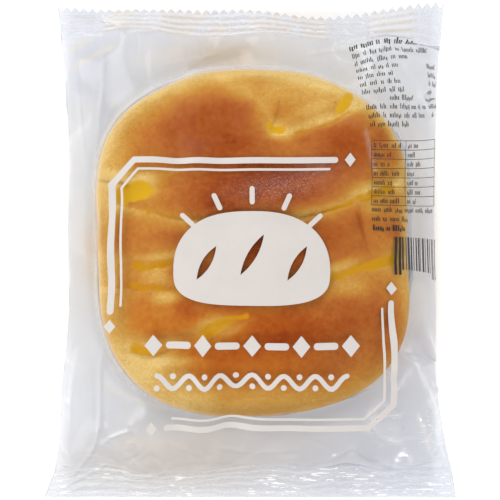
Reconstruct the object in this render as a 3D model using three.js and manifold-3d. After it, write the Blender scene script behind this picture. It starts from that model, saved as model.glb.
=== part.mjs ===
// A soft bread bun sealed in a clear flow-wrap bag, lying on its back with the front face up.
// Millimetres. +X to the right of the front face, +Y towards the toothed end seal, +Z up.
// The origin is under the middle of the bag, on the surface that it lies on.
//
// The bag is a tube of film, pressed flat and crimped at both ends: the toothed seal at +Y and
// the straight-cut seal at -Y. Between the seals the bun bulges it, so the tube is narrower and
// thicker in the middle than at the seals, and its back is flat where the bun's weight presses it.

import * as THREE from 'three';
import { mergeVertices } from 'three/addons/utils/BufferGeometryUtils.js';
import Module from 'manifold-3d';

// ---- driving dimensions ----------------------------------------------------------------------
const WIDTH_WAIST = 128.4;      // across the bag where the bun fills it
const WIDTH_TOP_SEAL = 136.4;   // across the toothed seal
const WIDTH_BOTTOM_SEAL = 145;  // across the straight seal
const HEIGHT = 40.8;            // crown of the front face over the surface below
const TOP_EDGE = 84.3;          // tips of the toothed edge, in the middle
const TOP_CORNER_RISE = 2.85;   // how much further the right corner reaches
const TOP_DIP = 2.5;            // the toothed edge is drawn in right of the middle
const BOTTOM_EDGE = -86.8;      // the straight cut
const BOTTOM_CORNER_DROP = 0.35;
const TOP_SEAL_INNER = 75;      // where the toothed seal ends and the pouch begins
const BOTTOM_SEAL_INNER = -76;
const SEAL_THICKNESS = 0.7;     // two plies, pressed together and crimped
const SEAL_Z_TOP = 11.5;        // height of the seals' corners over the surface
const SEAL_Z_BOTTOM = 9.8;
const SEAL_ARCH_TOP = 4.5;        // the middle of a seal stands higher than its corners
const SEAL_ARCH_BOTTOM = 3;
const SIDE_FOLD_Z = 14;         // height of the tube's side at the waist
const CRIMP_RIDGES = 5;         // ridges pressed across each seal
const CRIMP_HEIGHT = 0.45;
const TOOTH_PITCH = 3.15;
const TOOTH_DEPTH = 1.6;
const FLAT_LENGTH = 0.6;        // share of the pouch's half length that lies flat
const FLAT_WIDTH = 0.7;         // share of its half width
const PUCKER = 0.9;             // depth of the gathers that run off the seals
const PUCKER_PITCH = 16;
const PUCKER_REACH = 15;

const COLUMNS = 38;
const BODY_ROWS = 28;

// ---- small helpers ---------------------------------------------------------------------------
const clamp01 = (t) => Math.min(1, Math.max(0, t));
const smooth = (t) => { const c = clamp01(t); return c * c * (3 - 2 * c); };
const lerp = (a, b, t) => a + (b - a) * t;
const gauss = (d, w) => Math.exp(-(d * d) / (w * w));

// ---- outline, seen from the front ------------------------------------------------------------
function halfWidth(y) {
  const up = clamp01((y - 44) / 42);
  const down = clamp01((-34 - y) / 53);
  return (WIDTH_WAIST
    + (WIDTH_TOP_SEAL - WIDTH_WAIST) * up ** 1.4
    + (WIDTH_BOTTOM_SEAL - WIDTH_WAIST) * down ** 1.7) / 2;
}

// The toothed edge is drawn in where the film climbs over the bun, and reaches out at the corners.
function topEdge(x) {
  return TOP_EDGE - TOP_DIP * gauss(x - 24, 17)
    + TOP_CORNER_RISE * smooth((x - 38) / 30) + 1.3 * smooth((-50 - x) / 18);
}
function bottomEdge(x) {
  return BOTTOM_EDGE - BOTTOM_CORNER_DROP * smooth((Math.abs(x) - 50) / 22);
}
function topSealInner(x) {
  return TOP_SEAL_INNER - 0.035 * x + 0.8 * Math.sin(x / 9);
}
function bottomSealInner(x) {
  return BOTTOM_SEAL_INNER + 0.9 * Math.sin(x / 11 + 0.6) + 2.4 * gauss(x - 33, 9);
}

// ---- section across the bag ------------------------------------------------------------------
const topProfile = (s) => (1 - Math.abs(s) ** 2.4) ** (1 / 1.7);
function backProfile(s) {
  const t = clamp01((Math.abs(s) - FLAT_WIDTH) / (1 - FLAT_WIDTH));
  return Math.sqrt(1 - t * t);
}
const sealProfile = (s) => 1 - Math.abs(s) ** 12;

function sealHeight(s, w) {
  const top = SEAL_Z_TOP + SEAL_ARCH_TOP * (1 - s * s) + 0.9 * Math.sin(5.2 * s + 0.4);
  const bottom = SEAL_Z_BOTTOM + SEAL_ARCH_BOTTOM * (1 - s * s) + 0.7 * Math.sin(4.4 * s + 2.0);
  return lerp(bottom, top, smooth((w + 1) / 2));
}

// w runs from -1 at the straight seal to 1 at the toothed one; s from -1 to 1 across the bag.
function pouch(s, w, x) {
  const aw = Math.min(1, Math.abs(w));
  const seal = sealHeight(s, w);
  const swell = Math.max(0, 1 - aw ** 2.6) ** (1 / 1.15);
  const crown = lerp(sealHeight(0, w), HEIGHT, swell);
  const side = lerp(seal, SIDE_FOLD_Z, swell ** 0.8);
  const reach = (1 - aw) * 75;
  const pucker = PUCKER * Math.exp(-reach / PUCKER_REACH) * clamp01(reach / 3)
    * Math.cos((2 * Math.PI * x) / PUCKER_PITCH) * (1 - s * s);
  const half = (SEAL_THICKNESS / 2) * sealProfile(s);
  const arched = lerp(seal, side + Math.max(0, crown - side) * topProfile(s), smooth(swell * 6));
  const front = arched + half + pucker;
  const lift = smooth((aw - FLAT_LENGTH) / (1 - FLAT_LENGTH));
  const floor = seal * lift;
  const flatBack = side - (side - floor) * backProfile(s);
  const back = lerp(flatBack, seal - half, smooth((aw - 0.86) / 0.14));
  return { front, back: Math.max(0, Math.min(back, front - 2 * half)) };
}

// ---- the pouch with its two seals, as one closed grid ----------------------------------------
function rows() {
  const list = [];
  const sealSteps = 2 * CRIMP_RIDGES;
  for (let i = 0; i < sealSteps; i++) list.push({ zone: 'bottom', t: i / sealSteps, step: i });
  for (let i = 0; i <= BODY_ROWS; i++) {
    list.push({ zone: 'body', w: Math.sin(((2 * i) / BODY_ROWS - 1) * (Math.PI / 2)) });
  }
  for (let i = 1; i <= sealSteps; i++) list.push({ zone: 'top', t: i / sealSteps, step: i });
  return list;
}

function bagGeometry() {
  const front = [];
  const back = [];
  for (const row of rows()) {
    const frontRow = [];
    const backRow = [];
    for (let i = 0; i <= COLUMNS; i++) {
      const s = Math.sin(((2 * i) / COLUMNS - 1) * (Math.PI / 2));
      const x0 = s * (WIDTH_WAIST / 2 + 4);
      let y;
      let w;
      if (row.zone === 'body') {
        w = row.w;
        y = lerp(bottomSealInner(x0), topSealInner(x0), (w + 1) / 2);
      } else if (row.zone === 'top') {
        w = 1;
        y = lerp(topSealInner(x0), topEdge(x0), row.t);
      } else {
        w = -1;
        y = lerp(bottomEdge(x0), bottomSealInner(x0), row.t);
      }
      const x = s * halfWidth(y);
      let zFront;
      let zBack;
      if (row.zone === 'body') {
        const p = pouch(s, w, x);
        zFront = p.front;
        zBack = p.back;
      } else {
        const ridge = (row.step % 2 ? 1 : 0) * CRIMP_HEIGHT * sealProfile(s);
        const half = (SEAL_THICKNESS / 2) * sealProfile(s);
        zFront = sealHeight(s, w) + half + ridge;
        zBack = sealHeight(s, w) - half + ridge;
      }
      const rim = i === 0 || i === COLUMNS;
      frontRow.push(new THREE.Vector3(x, y, rim ? (zFront + zBack) / 2 : zFront));
      backRow.push(rim ? frontRow[i] : new THREE.Vector3(x, y, zBack));
    }
    front.push(frontRow);
    back.push(backRow);
  }

  const positions = [];
  const tri = (a, b, c) => {
    if (a === b || b === c || a === c) return;
    positions.push(a.x, a.y, a.z, b.x, b.y, b.z, c.x, c.y, c.z);
  };
  const quad = (a, b, c, d) => { tri(a, b, c); tri(a, c, d); };
  const last = front.length - 1;
  for (let j = 0; j < last; j++) {
    for (let i = 0; i < COLUMNS; i++) {
      quad(front[j][i], front[j][i + 1], front[j + 1][i + 1], front[j + 1][i]);
      quad(back[j][i], back[j + 1][i], back[j + 1][i + 1], back[j][i + 1]);
    }
  }
  for (let i = 0; i < COLUMNS; i++) {
    quad(back[0][i], back[0][i + 1], front[0][i + 1], front[0][i]);
    quad(front[last][i], front[last][i + 1], back[last][i + 1], back[last][i]);
  }
  const geometry = new THREE.BufferGeometry();
  geometry.setAttribute('position', new THREE.Float32BufferAttribute(positions, 3));
  return geometry;
}

// ---- cutters ---------------------------------------------------------------------------------
// The saw-toothed blade that cuts the top edge: everything beyond a zigzag line.
function toothCutter() {
  const shape = new THREE.Shape();
  const reach = WIDTH_TOP_SEAL / 2 + 8;
  const count = Math.ceil((2 * reach) / TOOTH_PITCH);
  const start = -(count * TOOTH_PITCH) / 2;
  shape.moveTo(start, 110);
  for (let k = 0; k <= 2 * count; k++) {
    const x = start + (k * TOOTH_PITCH) / 2;
    const edge = topEdge(Math.min(reach, Math.max(-reach, x)));
    // tips stop just inside the edge of the film, so that every tooth is cut
    shape.lineTo(x, k % 2 ? edge - 0.05 : edge - TOOTH_DEPTH);
  }
  shape.lineTo(start + count * TOOTH_PITCH, 110);
  shape.closePath();
  const geometry = new THREE.ExtrudeGeometry(shape, { depth: 60, bevelEnabled: false, curveSegments: 1 });
  geometry.translate(0, 0, -10);
  return geometry;
}

// ---- booleans --------------------------------------------------------------------------------
const wasm = await Module();
wasm.setup();

function toSolid(geometry) {
  const bare = geometry.clone();
  bare.deleteAttribute('normal');
  bare.deleteAttribute('uv');
  const merged = mergeVertices(bare, 1e-3);
  const index = Array.from(merged.index.array);
  const kept = [];
  for (let i = 0; i < index.length; i += 3) {
    const [a, b, c] = [index[i], index[i + 1], index[i + 2]];
    if (a !== b && b !== c && a !== c) kept.push(a, b, c);
  }
  return new wasm.Manifold(new wasm.Mesh({
    numProp: 3,
    vertProperties: new Float32Array(merged.attributes.position.array),
    triVerts: new Uint32Array(kept),
  }));
}

function toGeometry(solid) {
  const mesh = solid.getMesh();
  const geometry = new THREE.BufferGeometry();
  const position = new Float32Array((mesh.vertProperties.length / mesh.numProp) * 3);
  for (let i = 0; i < position.length / 3; i++) {
    for (let k = 0; k < 3; k++) position[3 * i + k] = mesh.vertProperties[i * mesh.numProp + k];
  }
  geometry.setAttribute('position', new THREE.BufferAttribute(position, 3));
  geometry.setIndex(new THREE.BufferAttribute(new Uint32Array(mesh.triVerts), 1));
  geometry.computeVertexNormals();
  return geometry;
}

let bag = toSolid(bagGeometry());
bag = bag.subtract(toSolid(toothCutter()));

// ---- the scene graph -------------------------------------------------------------------------
const group = new THREE.Group();
group.name = 'bagged_bread';
const film = new THREE.MeshStandardMaterial({
  color: 0xe2e2e8, roughness: 0.14, metalness: 0, transparent: true, opacity: 0.35,
});
const outline = toGeometry(bag);
outline.computeBoundingBox();
const middle = outline.boundingBox.getCenter(new THREE.Vector3());
outline.translate(-middle.x, -middle.y, -outline.boundingBox.min.z);
const mesh = new THREE.Mesh(outline, film);
mesh.name = 'sealed_bag';
group.add(mesh);

export default group;
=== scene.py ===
import math

import bpy
import numpy as np
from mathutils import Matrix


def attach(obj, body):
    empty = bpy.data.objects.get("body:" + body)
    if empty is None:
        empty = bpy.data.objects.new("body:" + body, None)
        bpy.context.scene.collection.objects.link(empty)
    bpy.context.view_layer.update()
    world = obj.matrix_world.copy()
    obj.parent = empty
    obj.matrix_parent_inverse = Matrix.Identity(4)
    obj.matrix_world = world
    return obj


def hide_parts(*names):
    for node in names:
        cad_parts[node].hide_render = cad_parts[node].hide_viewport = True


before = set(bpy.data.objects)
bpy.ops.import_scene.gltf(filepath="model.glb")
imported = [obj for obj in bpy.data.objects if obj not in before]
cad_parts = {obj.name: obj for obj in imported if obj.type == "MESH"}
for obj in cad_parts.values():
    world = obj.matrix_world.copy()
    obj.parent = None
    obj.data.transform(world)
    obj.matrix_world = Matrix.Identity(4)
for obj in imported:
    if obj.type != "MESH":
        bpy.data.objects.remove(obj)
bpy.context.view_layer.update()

# A soft folded bun in a clear sealed bag that lies on its back, seen from straight above.
# Lengths below are millimetres; meshes are made in metres.
# Plan positions are given on a 500-unit layout, x to the right and y down, 0.35 mm to the unit.

MM = 0.001
UNIT = 0.35
LENS = 200.0
SENSOR = 36.0
PLANE_Z = 15.0                                 # the height at which the layout is to scale
CAM_D = 500 * UNIT * LENS / SENSOR             # camera to that plane
CAM_Z = CAM_D + PLANE_Z


def plan(px, py, z=PLANE_Z):
    """Layout position to millimetres, for a point at height z as the camera sees it."""
    k = (CAM_Z - z) / CAM_D
    return (np.asarray(px, float) - 250.0) * UNIT * k, (250.0 - np.asarray(py, float)) * UNIT * k


def smooth(t):
    t = np.clip(t, 0.0, 1.0)
    return t * t * (3.0 - 2.0 * t)


def lerp(a, b, t):
    return a + (b - a) * t


# ---------------------------------------------------------------- smooth seeded noise
def lattice_noise(seed):
    """Value noise on a seeded lattice: returns f(x, y, z) in -1..1, cell size 1."""
    table = np.random.default_rng(seed).uniform(-1, 1, (32, 32, 32))

    def f(x, y, z=0.0):
        x, y, z = np.broadcast_arrays(np.asarray(x, float), np.asarray(y, float), np.asarray(z, float))
        out = np.zeros(x.shape)
        ix, iy, iz = np.floor(x).astype(int), np.floor(y).astype(int), np.floor(z).astype(int)
        fx, fy, fz = smooth(x - ix), smooth(y - iy), smooth(z - iz)
        for dx in (0, 1):
            wx = fx if dx else 1 - fx
            for dy in (0, 1):
                wy = fy if dy else 1 - fy
                for dz in (0, 1):
                    wz = fz if dz else 1 - fz
                    out += wx * wy * wz * table[(ix + dx) % 32, (iy + dy) % 32, (iz + dz) % 32]
        return out
    return f


# ---------------------------------------------------------------- curves in plan
def spline(points, n=48):
    """Catmull-Rom curve through a few points, evenly resampled."""
    p = np.asarray(points, float)
    ext = np.vstack([2 * p[0] - p[1], p, 2 * p[-1] - p[-2]])
    out = []
    for i in range(1, len(ext) - 2):
        t = np.linspace(0, 1, 12, endpoint=False)[:, None]
        a, b, c, d = ext[i - 1], ext[i], ext[i + 1], ext[i + 2]
        out.append(0.5 * (2 * b + (c - a) * t + (2 * a - 5 * b + 4 * c - d) * t ** 2 + (3 * b - a - 3 * c + d) * t ** 3))
    out = np.vstack(out + [p[-1:]])
    s = np.r_[0, np.cumsum(np.hypot(*np.diff(out, axis=0).T))]
    g = np.linspace(0, s[-1], n)
    return np.column_stack([np.interp(g, s, out[:, 0]), np.interp(g, s, out[:, 1])])


def near_curve(x, y, curve):
    """For each point: distance to the curve, side of it (+1 left of its run), and how far along, 0..1."""
    best = np.full(x.shape, 1e9)
    side = np.zeros(x.shape)
    along = np.zeros(x.shape)
    n = len(curve) - 1
    for i in range(n):
        ax, ay = curve[i]
        ex, ey = curve[i + 1] - curve[i]
        L2 = ex * ex + ey * ey + 1e-12
        t = np.clip(((x - ax) * ex + (y - ay) * ey) / L2, 0, 1)
        dx, dy = x - ax - t * ex, y - ay - t * ey
        d = dx * dx + dy * dy
        m = d < best
        best = np.where(m, d, best)
        side = np.where(m, np.sign(ex * dy - ey * dx), side)
        along = np.where(m, (i + t) / n, along)
    return np.sqrt(best), side, along


# ---------------------------------------------------------------- the bun
BUN_HEIGHT = 38.6
BUN_GIRTH_Z = 14.5         # height where it is widest
BUN_HALF_X, BUN_HALF_Y, BUN_POWER = 55.1, 60.6, 2.9
BUN_TUCK = 9.0             # how far the underside draws in
BUN_BASE_Z = 0.35
BUN_CENTRE = (252, 242)
BUN_WOBBLE = ((0.0114, -0.0035), (0.0042, -0.0093), (0.0067, -0.003), (0.0013, -0.0067), (-0.0036, 0.0015), (-0.0097, 0.0008))

# how far its side stands out of that outline, in layout units, every 12 degrees from the left by way of the bottom
BUN_SIDE = (1.0, -0.6, 0.2, 0.9, 0.5, 1.0, 1.0, -0.3, 0.5, 1.0, 0.0, -1.2, -1.2, -3.0, -4.3, -4.3, -3.0, -2.8, -3.5, -2.0, -0.8, 0.8, -2.3, -2.0, 0.0, -1.7, -0.6, 0.8, 0.8, 0.4, 1.0)
BUN_LOBES = ((0.56, 0.26, 0.022), (2.12, 0.22, -0.014), (3.02, 0.09, -0.008))   # direction, half width, share of the radius


def bun_radius(th):
    r = (np.abs(np.cos(th) / BUN_HALF_X) ** BUN_POWER + np.abs(np.sin(th) / BUN_HALF_Y) ** BUN_POWER) ** (-1 / BUN_POWER)
    w = sum(c * np.cos((k + 1) * th) + s * np.sin((k + 1) * th) for k, (c, s) in enumerate(BUN_WOBBLE))
    for at, wide, out in BUN_LOBES:
        w = w + out * np.exp(-(((th - at + math.pi) % (2 * math.pi) - math.pi) / wide) ** 2)
    return r * (1 + w)


def bun_profile(n=400):
    """Unit profile from the crown over the girth to the foot: share of radius, height, and run length."""
    f = np.linspace(0, math.pi / 2, n)
    r_up = np.sin(f) ** 0.86
    z_up = BUN_GIRTH_Z + (BUN_HEIGHT - BUN_GIRTH_Z) * np.cos(f) ** 0.92
    g = np.linspace(0, math.pi / 2, n // 2)[1:]
    r_dn = 1 - (BUN_TUCK / 57.0) * (1 - np.cos(g))
    z_dn = BUN_BASE_Z + (BUN_GIRTH_Z - BUN_BASE_Z) * (1 - np.sin(g))
    r, z = np.r_[r_up, r_dn], np.r_[z_up, z_dn]
    run = np.r_[0, np.cumsum(np.hypot(np.diff(r * 57.0), np.diff(z)))]
    return r, z, run / run[-1]


# The dough was rolled up and tucked, so folds run across it. Each fold: a curve on the layout, its depth at
# the start, middle and end, how wide its upper and lower banks are (these in millimetres), and how much
# browner its lips are than the crust round it: the upper lip at the start and the end, then the lower one.
FOLDS = {
    "upper_right":   ([(370, 92), (356, 104), (338, 114), (318, 123), (300, 130), (284, 131), (272, 128)], (2.2, 3.0, 1.8), 4.6, 2.4, (-0.09, -0.12, 0.01, -0.11)),
    "upper_branch":  ([(277, 127), (267, 114), (258, 101), (248, 90), (236, 81), (222, 71)], (1.1, 0.8, 0.3), 3.6, 3.6, (-0.17, -0.05, -0.10, -0.07)),
    "left_notch":    ([(90, 181), (105, 183), (122, 187), (140, 190), (160, 188), (190, 181), (216, 173), (240, 167), (262, 160)], (1.6, 1.5, 0.0), 2.4, 4.2, (-0.01, 0.03, -0.12, -0.02)),
    "second":        ([(112, 206), (130, 209), (147, 212), (164, 215), (182, 219), (202, 221), (230, 222), (262, 222), (293, 220), (318, 214), (338, 207), (359, 198), (374, 192), (404, 181)], (0.9, 3.0, 2.0), 2.3, 4.4, (-0.12, -0.27, -0.34, -0.39)),
    "third_left":    ([(92, 251), (104, 256), (118, 260), (136, 264), (159, 265), (180, 263), (196, 260), (216, 254), (236, 249)], (0.9, 2.4, 0.0), 2.6, 2.6, (-0.08, -0.07, -0.10, -0.07)),
    "fourth":        ([(100, 286), (118, 289), (137, 290), (159, 290), (180, 288), (198, 286), (216, 284), (242, 283), (280, 283), (304, 284), (318, 281), (338, 276), (359, 270), (382, 265), (410, 259)], (0.9, 2.6, 2.2), 2.8, 4.4, (0.04, -0.14, -0.09, -0.25)),
    "fourth_branch": ([(314, 282), (301, 289), (288, 296), (268, 301)], (1.5, 1.3, 0.0), 2.6, 3.0, (0.08, 0.06, -0.22, -0.16)),
    "fifth":         ([(258, 311), (244, 317), (230, 320), (216, 325), (204, 331), (188, 338), (166, 343), (140, 346), (112, 348)], (0.2, 2.4, 1.2), 2.6, 3.2, (-0.10, -0.07, -0.04, -0.05)),
    "fifth_low":     ([(118, 353), (131, 357), (147, 360), (166, 356), (184, 349), (206, 339)], (0.5, 1.8, 0.2), 2.4, 2.6, (0.00, 0.01, -0.08, 0.01)),
    "low_crease":    ([(206, 334), (228, 336), (252, 336), (286, 335), (319, 336), (350, 340), (378, 345), (404, 350)], (0.2, 0.9, 1.0), 2.0, 3.6, (0.19, 0.08, 0.21, 0.07)),
    "right_dent":    ([(361, 200), (364, 214), (367, 230), (370, 246)], (0.4, 1.2, 0.3), 2.4, 1.6, (0.00, 0.00, 0.15, 0.20)),
    "shoulder":      ([(276, 104), (300, 97), (320, 93), (342, 89)], (0.0, 0.35, 0.0), 1.4, 2.4, (0.02, 0.04, -0.01, 0.03)),
}

# Thin lines where the skin closes on itself: a curve, strength at the start, middle and end. Each is cut in as a
# shallow groove, and a darker brown is painted along it: painted shade for the narrow crack.
CREASES = (
    ([(98, 181), (107, 183), (114, 182), (119, 185), (124, 188)], (0.8, 1.0, 0.6)),
    ([(356, 108), (344, 114), (330, 120), (312, 127), (298, 131)], (0.1, 0.45, 0.2)),
    ([(150, 213), (164, 216), (182, 219), (202, 220)], (0.5, 0.7, 0.3)),
    ([(288, 221), (300, 219), (318, 215), (332, 210), (344, 206)], (0.3, 1.0, 0.5)),
    ([(344, 206), (360, 201), (378, 196)], (0.4, 0.4, 0.2)),
    ([(158, 266), (180, 264), (198, 259)], (0.3, 0.5, 0.2)),
    ([(150, 289), (170, 290), (188, 288), (204, 286)], (0.2, 0.6, 0.7)),
    ([(204, 286), (230, 284), (258, 282), (282, 283), (306, 283)], (0.7, 1.0, 0.7)),
    ([(306, 284), (318, 281), (340, 277)], (0.7, 0.6, 0.2)),
    ([(243, 318), (230, 321), (216, 326)], (0.1, 0.4, 0.3)),
    ([(136, 345), (152, 343), (166, 341)], (0.2, 0.45, 0.2)),
    ([(130, 356), (142, 361), (154, 360), (168, 354)], (0.3, 0.8, 0.3)),
    ([(361, 211), (363, 224), (366, 238)], (0.3, 0.8, 0.2)),
    ([(365, 222), (367, 234), (369, 247)], (0.2, 0.6, 0.3)),
    ([(178, 352), (196, 352), (214, 349), (240, 344)], (0.2, 0.5, 0.1)),
    ([(206, 336), (240, 337), (280, 336), (312, 336)], (0.1, 0.35, 0.1)),
    ([(200, 178), (230, 172), (256, 166)], (0.0, 0.3, 0.0)),
)


def fold_depth(spec, along):
    d0, d1, d2 = spec
    return np.where(along < 0.5, lerp(d0, d1, smooth(along * 2)), lerp(d1, d2, smooth(along * 2 - 1)))


# Where unbaked dough and melted butter show in the folds: a stroke on the layout, its half width in units at the
# start and the end, how soft its edge is, its strength, and its tone, from mustard (0) to bright yellow (1). The
# yellow is the dough's own colour; the mustard is that yellow darkened as painted shade for the inside of a fold.
BUTTER = (
    ([(350, 96), (347, 101), (343, 106)], 5.5, 4.5, 1.4, 1.0, 1.0),
    ([(343, 107), (335, 111)], 4.0, 2.0, 2.5, 0.55, 0.8),
    ([(282, 129), (276, 127), (271, 124)], 4.5, 4.0, 2.0, 0.90, 0.95),
    ([(298, 131), (316, 125), (334, 117), (352, 109)], 1.8, 2.6, 2.2, 0.80, 0.0),
    ([(121, 197), (128, 193), (137, 191)], 9.0, 10.0, 2.4, 1.0, 1.0),
    ([(138, 192), (149, 190)], 9.0, 6.0, 4.0, 0.60, 0.9),
    ([(158, 183), (166, 181)], 2.4, 1.6, 2.4, 0.65, 0.2),
    ([(145, 212), (152, 213), (160, 215), (172, 217), (184, 219)], 3.4, 1.2, 1.8, 0.80, 0.0),
    ([(308, 219), (326, 212), (344, 206), (360, 199), (374, 194), (394, 187)], 0.8, 5.5, 1.4, 1.0, 0.3),
    ([(134, 266), (142, 267), (152, 265), (168, 264), (184, 262), (200, 258)], 4.8, 1.0, 1.8, 1.0, 0.15),
    ([(128, 286), (140, 288), (154, 290), (170, 290), (186, 288), (202, 286)], 4.0, 1.2, 1.8, 0.95, 0.1),
    ([(204, 286), (240, 284), (280, 284)], 1.2, 1.4, 2.0, 0.35, 0.0),
    ([(312, 283), (326, 280), (342, 275), (358, 270), (374, 266), (396, 261)], 1.2, 6.0, 1.8, 1.0, 0.4),
    ([(314, 284), (302, 289), (292, 294), (284, 298)], 2.0, 4.0, 2.8, 0.65, 0.2),
    ([(247, 316), (234, 319), (221, 324), (211, 329), (204, 334)], 2.2, 7.0, 2.0, 1.0, 0.35),
    ([(132, 350), (140, 353), (148, 354), (158, 350)], 6.5, 2.5, 2.8, 0.95, 0.4),
    ([(150, 347), (168, 342), (186, 337)], 2.0, 1.4, 2.4, 0.55, 0.2),
)

# Where the oven browned it more (or less): place and half sizes on the layout, turn in degrees, amount.
BROWNING = (
    (190, 318, 14, 12, 0, 0.10), (245, 367, 60, 8, 0, -0.10), (148, 238, 20, 14, 0, -0.07), (235, 330, 15, 4.5, 34, -0.20),
    (384, 134, 9, 10, 0, 0.24), (397, 152, 8, 10, 0, 0.22), (394, 230, 10, 10, 0, 0.22), (404, 232, 7, 10, 0, 0.12),
    (378, 187, 12, 9, 0, -0.16), (374, 209, 10, 7, 0, -0.18), (380, 170, 10, 7, 0, -0.12),
    (205, 122, 50, 34, 6, 0.33), (170, 135, 34, 24, 20, 0.08), (240, 120, 22, 28, -20, 0.07),
    (230, 150, 50, 14, 4, 0.22), (345, 145, 34, 30, 0, 0.34), (235, 188, 60, 20, 6, 0.42),
    (300, 180, 44, 20, 6, 0.20), (270, 170, 60, 12, 0, 0.23), (350, 235, 26, 28, 0, 0.12),
    (325, 235, 20, 14, 0, 0.19), (265, 250, 52, 18, 0, 0.48), (170, 238, 34, 8, 0, 0.15), (112, 235, 18, 30, 0, 0.15),
    (188, 268, 22, 9, 8, 0.13), (185, 308, 14, 12, 0, 0.20), (165, 325, 34, 13, 0, 0.03), (275, 325, 34, 16, 0, 0.30),
    (335, 315, 44, 24, 6, 0.22), (280, 344, 40, 9, 0, 0.22), (240, 362, 44, 16, 0, 0.25), (330, 362, 46, 22, 0, 0.21),
    (388, 330, 22, 34, 0, 0.18), (240, 92, 26, 10, -30, -0.14), (263, 112, 10, 14, -20, -0.16),
    (277, 128, 16, 9, 0, -0.30), (325, 117, 40, 7, 18, -0.40), (300, 92, 44, 16, 6, -0.17),
    (125, 178, 26, 10, 0, -0.34), (145, 185, 16, 14, 0, -0.24), (110, 203, 14, 10, 0, -0.12),
    (362, 190, 14, 8, 20, -0.24), (150, 275, 18, 12, 0, -0.26), (260, 278, 22, 8, 0, -0.04),
    (300, 285, 20, 12, 20, -0.17), (212, 325, 22, 12, 25, -0.27), (225, 308, 24, 10, 10, 0.18),
    (155, 345, 34, 8, 0, -0.09), (160, 378, 44, 22, -30, -0.23), (250, 400, 80, 14, 0, -0.07),
    (190, 84, 24, 10, 20, -0.07), (312, 108, 32, 7, 18, -0.23), (285, 136, 16, 6, 0, -0.14),
    (302, 138, 10, 6, 0, 0.16), (165, 256, 36, 5, 3, -0.26), (170, 282, 16, 5, 5, -0.08), (222, 208, 28, 8, -4, 0.21),
    (295, 199, 34, 9, 12, 0.18), (312, 212, 44, 5, 16, -0.18), (340, 267, 26, 6, 18, -0.32),
    (348, 289, 22, 10, 12, -0.28), (222, 270, 20, 9, 8, 0.36), (293, 268, 12, 8, 0, 0.16),
    (175, 362, 30, 5, 0, -0.19), (152, 359, 9, 4, 0, 0.17), (165, 172, 24, 7, 20, -0.12), (107, 225, 6, 18, 0, -0.12),
    (335, 327, 40, 9, 0, 0.11), (345, 165, 20, 10, 0, -0.05), (130, 130, 20, 24, 30, 0.07),
    (228, 401, 14, 6, 0, 0.09), (180, 274, 14, 8, 0, 0.11), (165, 298, 16, 6, 0, -0.31), (160, 365, 20, 6, 0, -0.09),
)


HUG = {}                   # how far the film settles below the bun's smooth envelope, kept by make_bun


def film_over(sink):
    """How far film sinks that lies on a surface sunk by so much: it follows the broad hollows and bridges the narrow ones."""
    def shrink(f, n, pick):
        for _ in range(n):
            for ax in (0, 1):
                f = pick(pick(np.roll(f, 1, ax), np.roll(f, -1, ax)), f)
        return f

    def blur(f, n):
        for _ in range(n):
            for ax in (0, 1):
                q = np.pad(f, 1, mode="edge")
                f = (q[:-2, 1:-1] + 2 * q[1:-1, 1:-1] + q[2:, 1:-1]) / 4 if ax == 0 else (q[1:-1, :-2] + 2 * q[1:-1, 1:-1] + q[1:-1, 2:]) / 4
        return f
    return blur(shrink(sink, 5, np.minimum), 14) - 0.04


def hug(x, y, z):
    """The film's settling at a place over the bun, faded out beyond its shoulder."""
    cx, cy = plan(*BUN_CENTRE)
    rx, ry = x - cx, y - cy
    th = np.arctan2(ry, rx)
    share = np.hypot(rx, ry) / bun_radius(th)
    pr, run = HUG["run"]
    crown = int(np.argmax(pr))
    rho = np.interp(np.clip(share, 0, 1), pr[:crown + 1], run[:crown + 1])
    p, q = rho * np.cos(th), rho * np.sin(th)
    r2 = 2 * math.sqrt(2)
    a = 0.5 * (np.sqrt(np.maximum(2 + p * p - q * q + r2 * p, 0)) - np.sqrt(np.maximum(2 + p * p - q * q - r2 * p, 0)))
    b = 0.5 * (np.sqrt(np.maximum(2 - p * p + q * q + r2 * q, 0)) - np.sqrt(np.maximum(2 - p * p + q * q - r2 * q, 0)))
    f = HUG["sink"]
    n = f.shape[0] - 1
    i, j = np.clip((b + 1) / 2 * n, 0, n - 1e-6), np.clip((a + 1) / 2 * n, 0, n - 1e-6)
    i0, j0 = i.astype(int), j.astype(int)
    fi, fj = i - i0, j - j0
    d = (1 - fi) * ((1 - fj) * f[i0, j0] + fj * f[i0, j0 + 1]) + fi * ((1 - fj) * f[i0 + 1, j0] + fj * f[i0 + 1, j0 + 1])
    return (d + FILM_OFF - 0.22) * smooth((0.97 - share) / 0.10) * smooth((z - BUN_GIRTH_Z) / 6.0)


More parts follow.
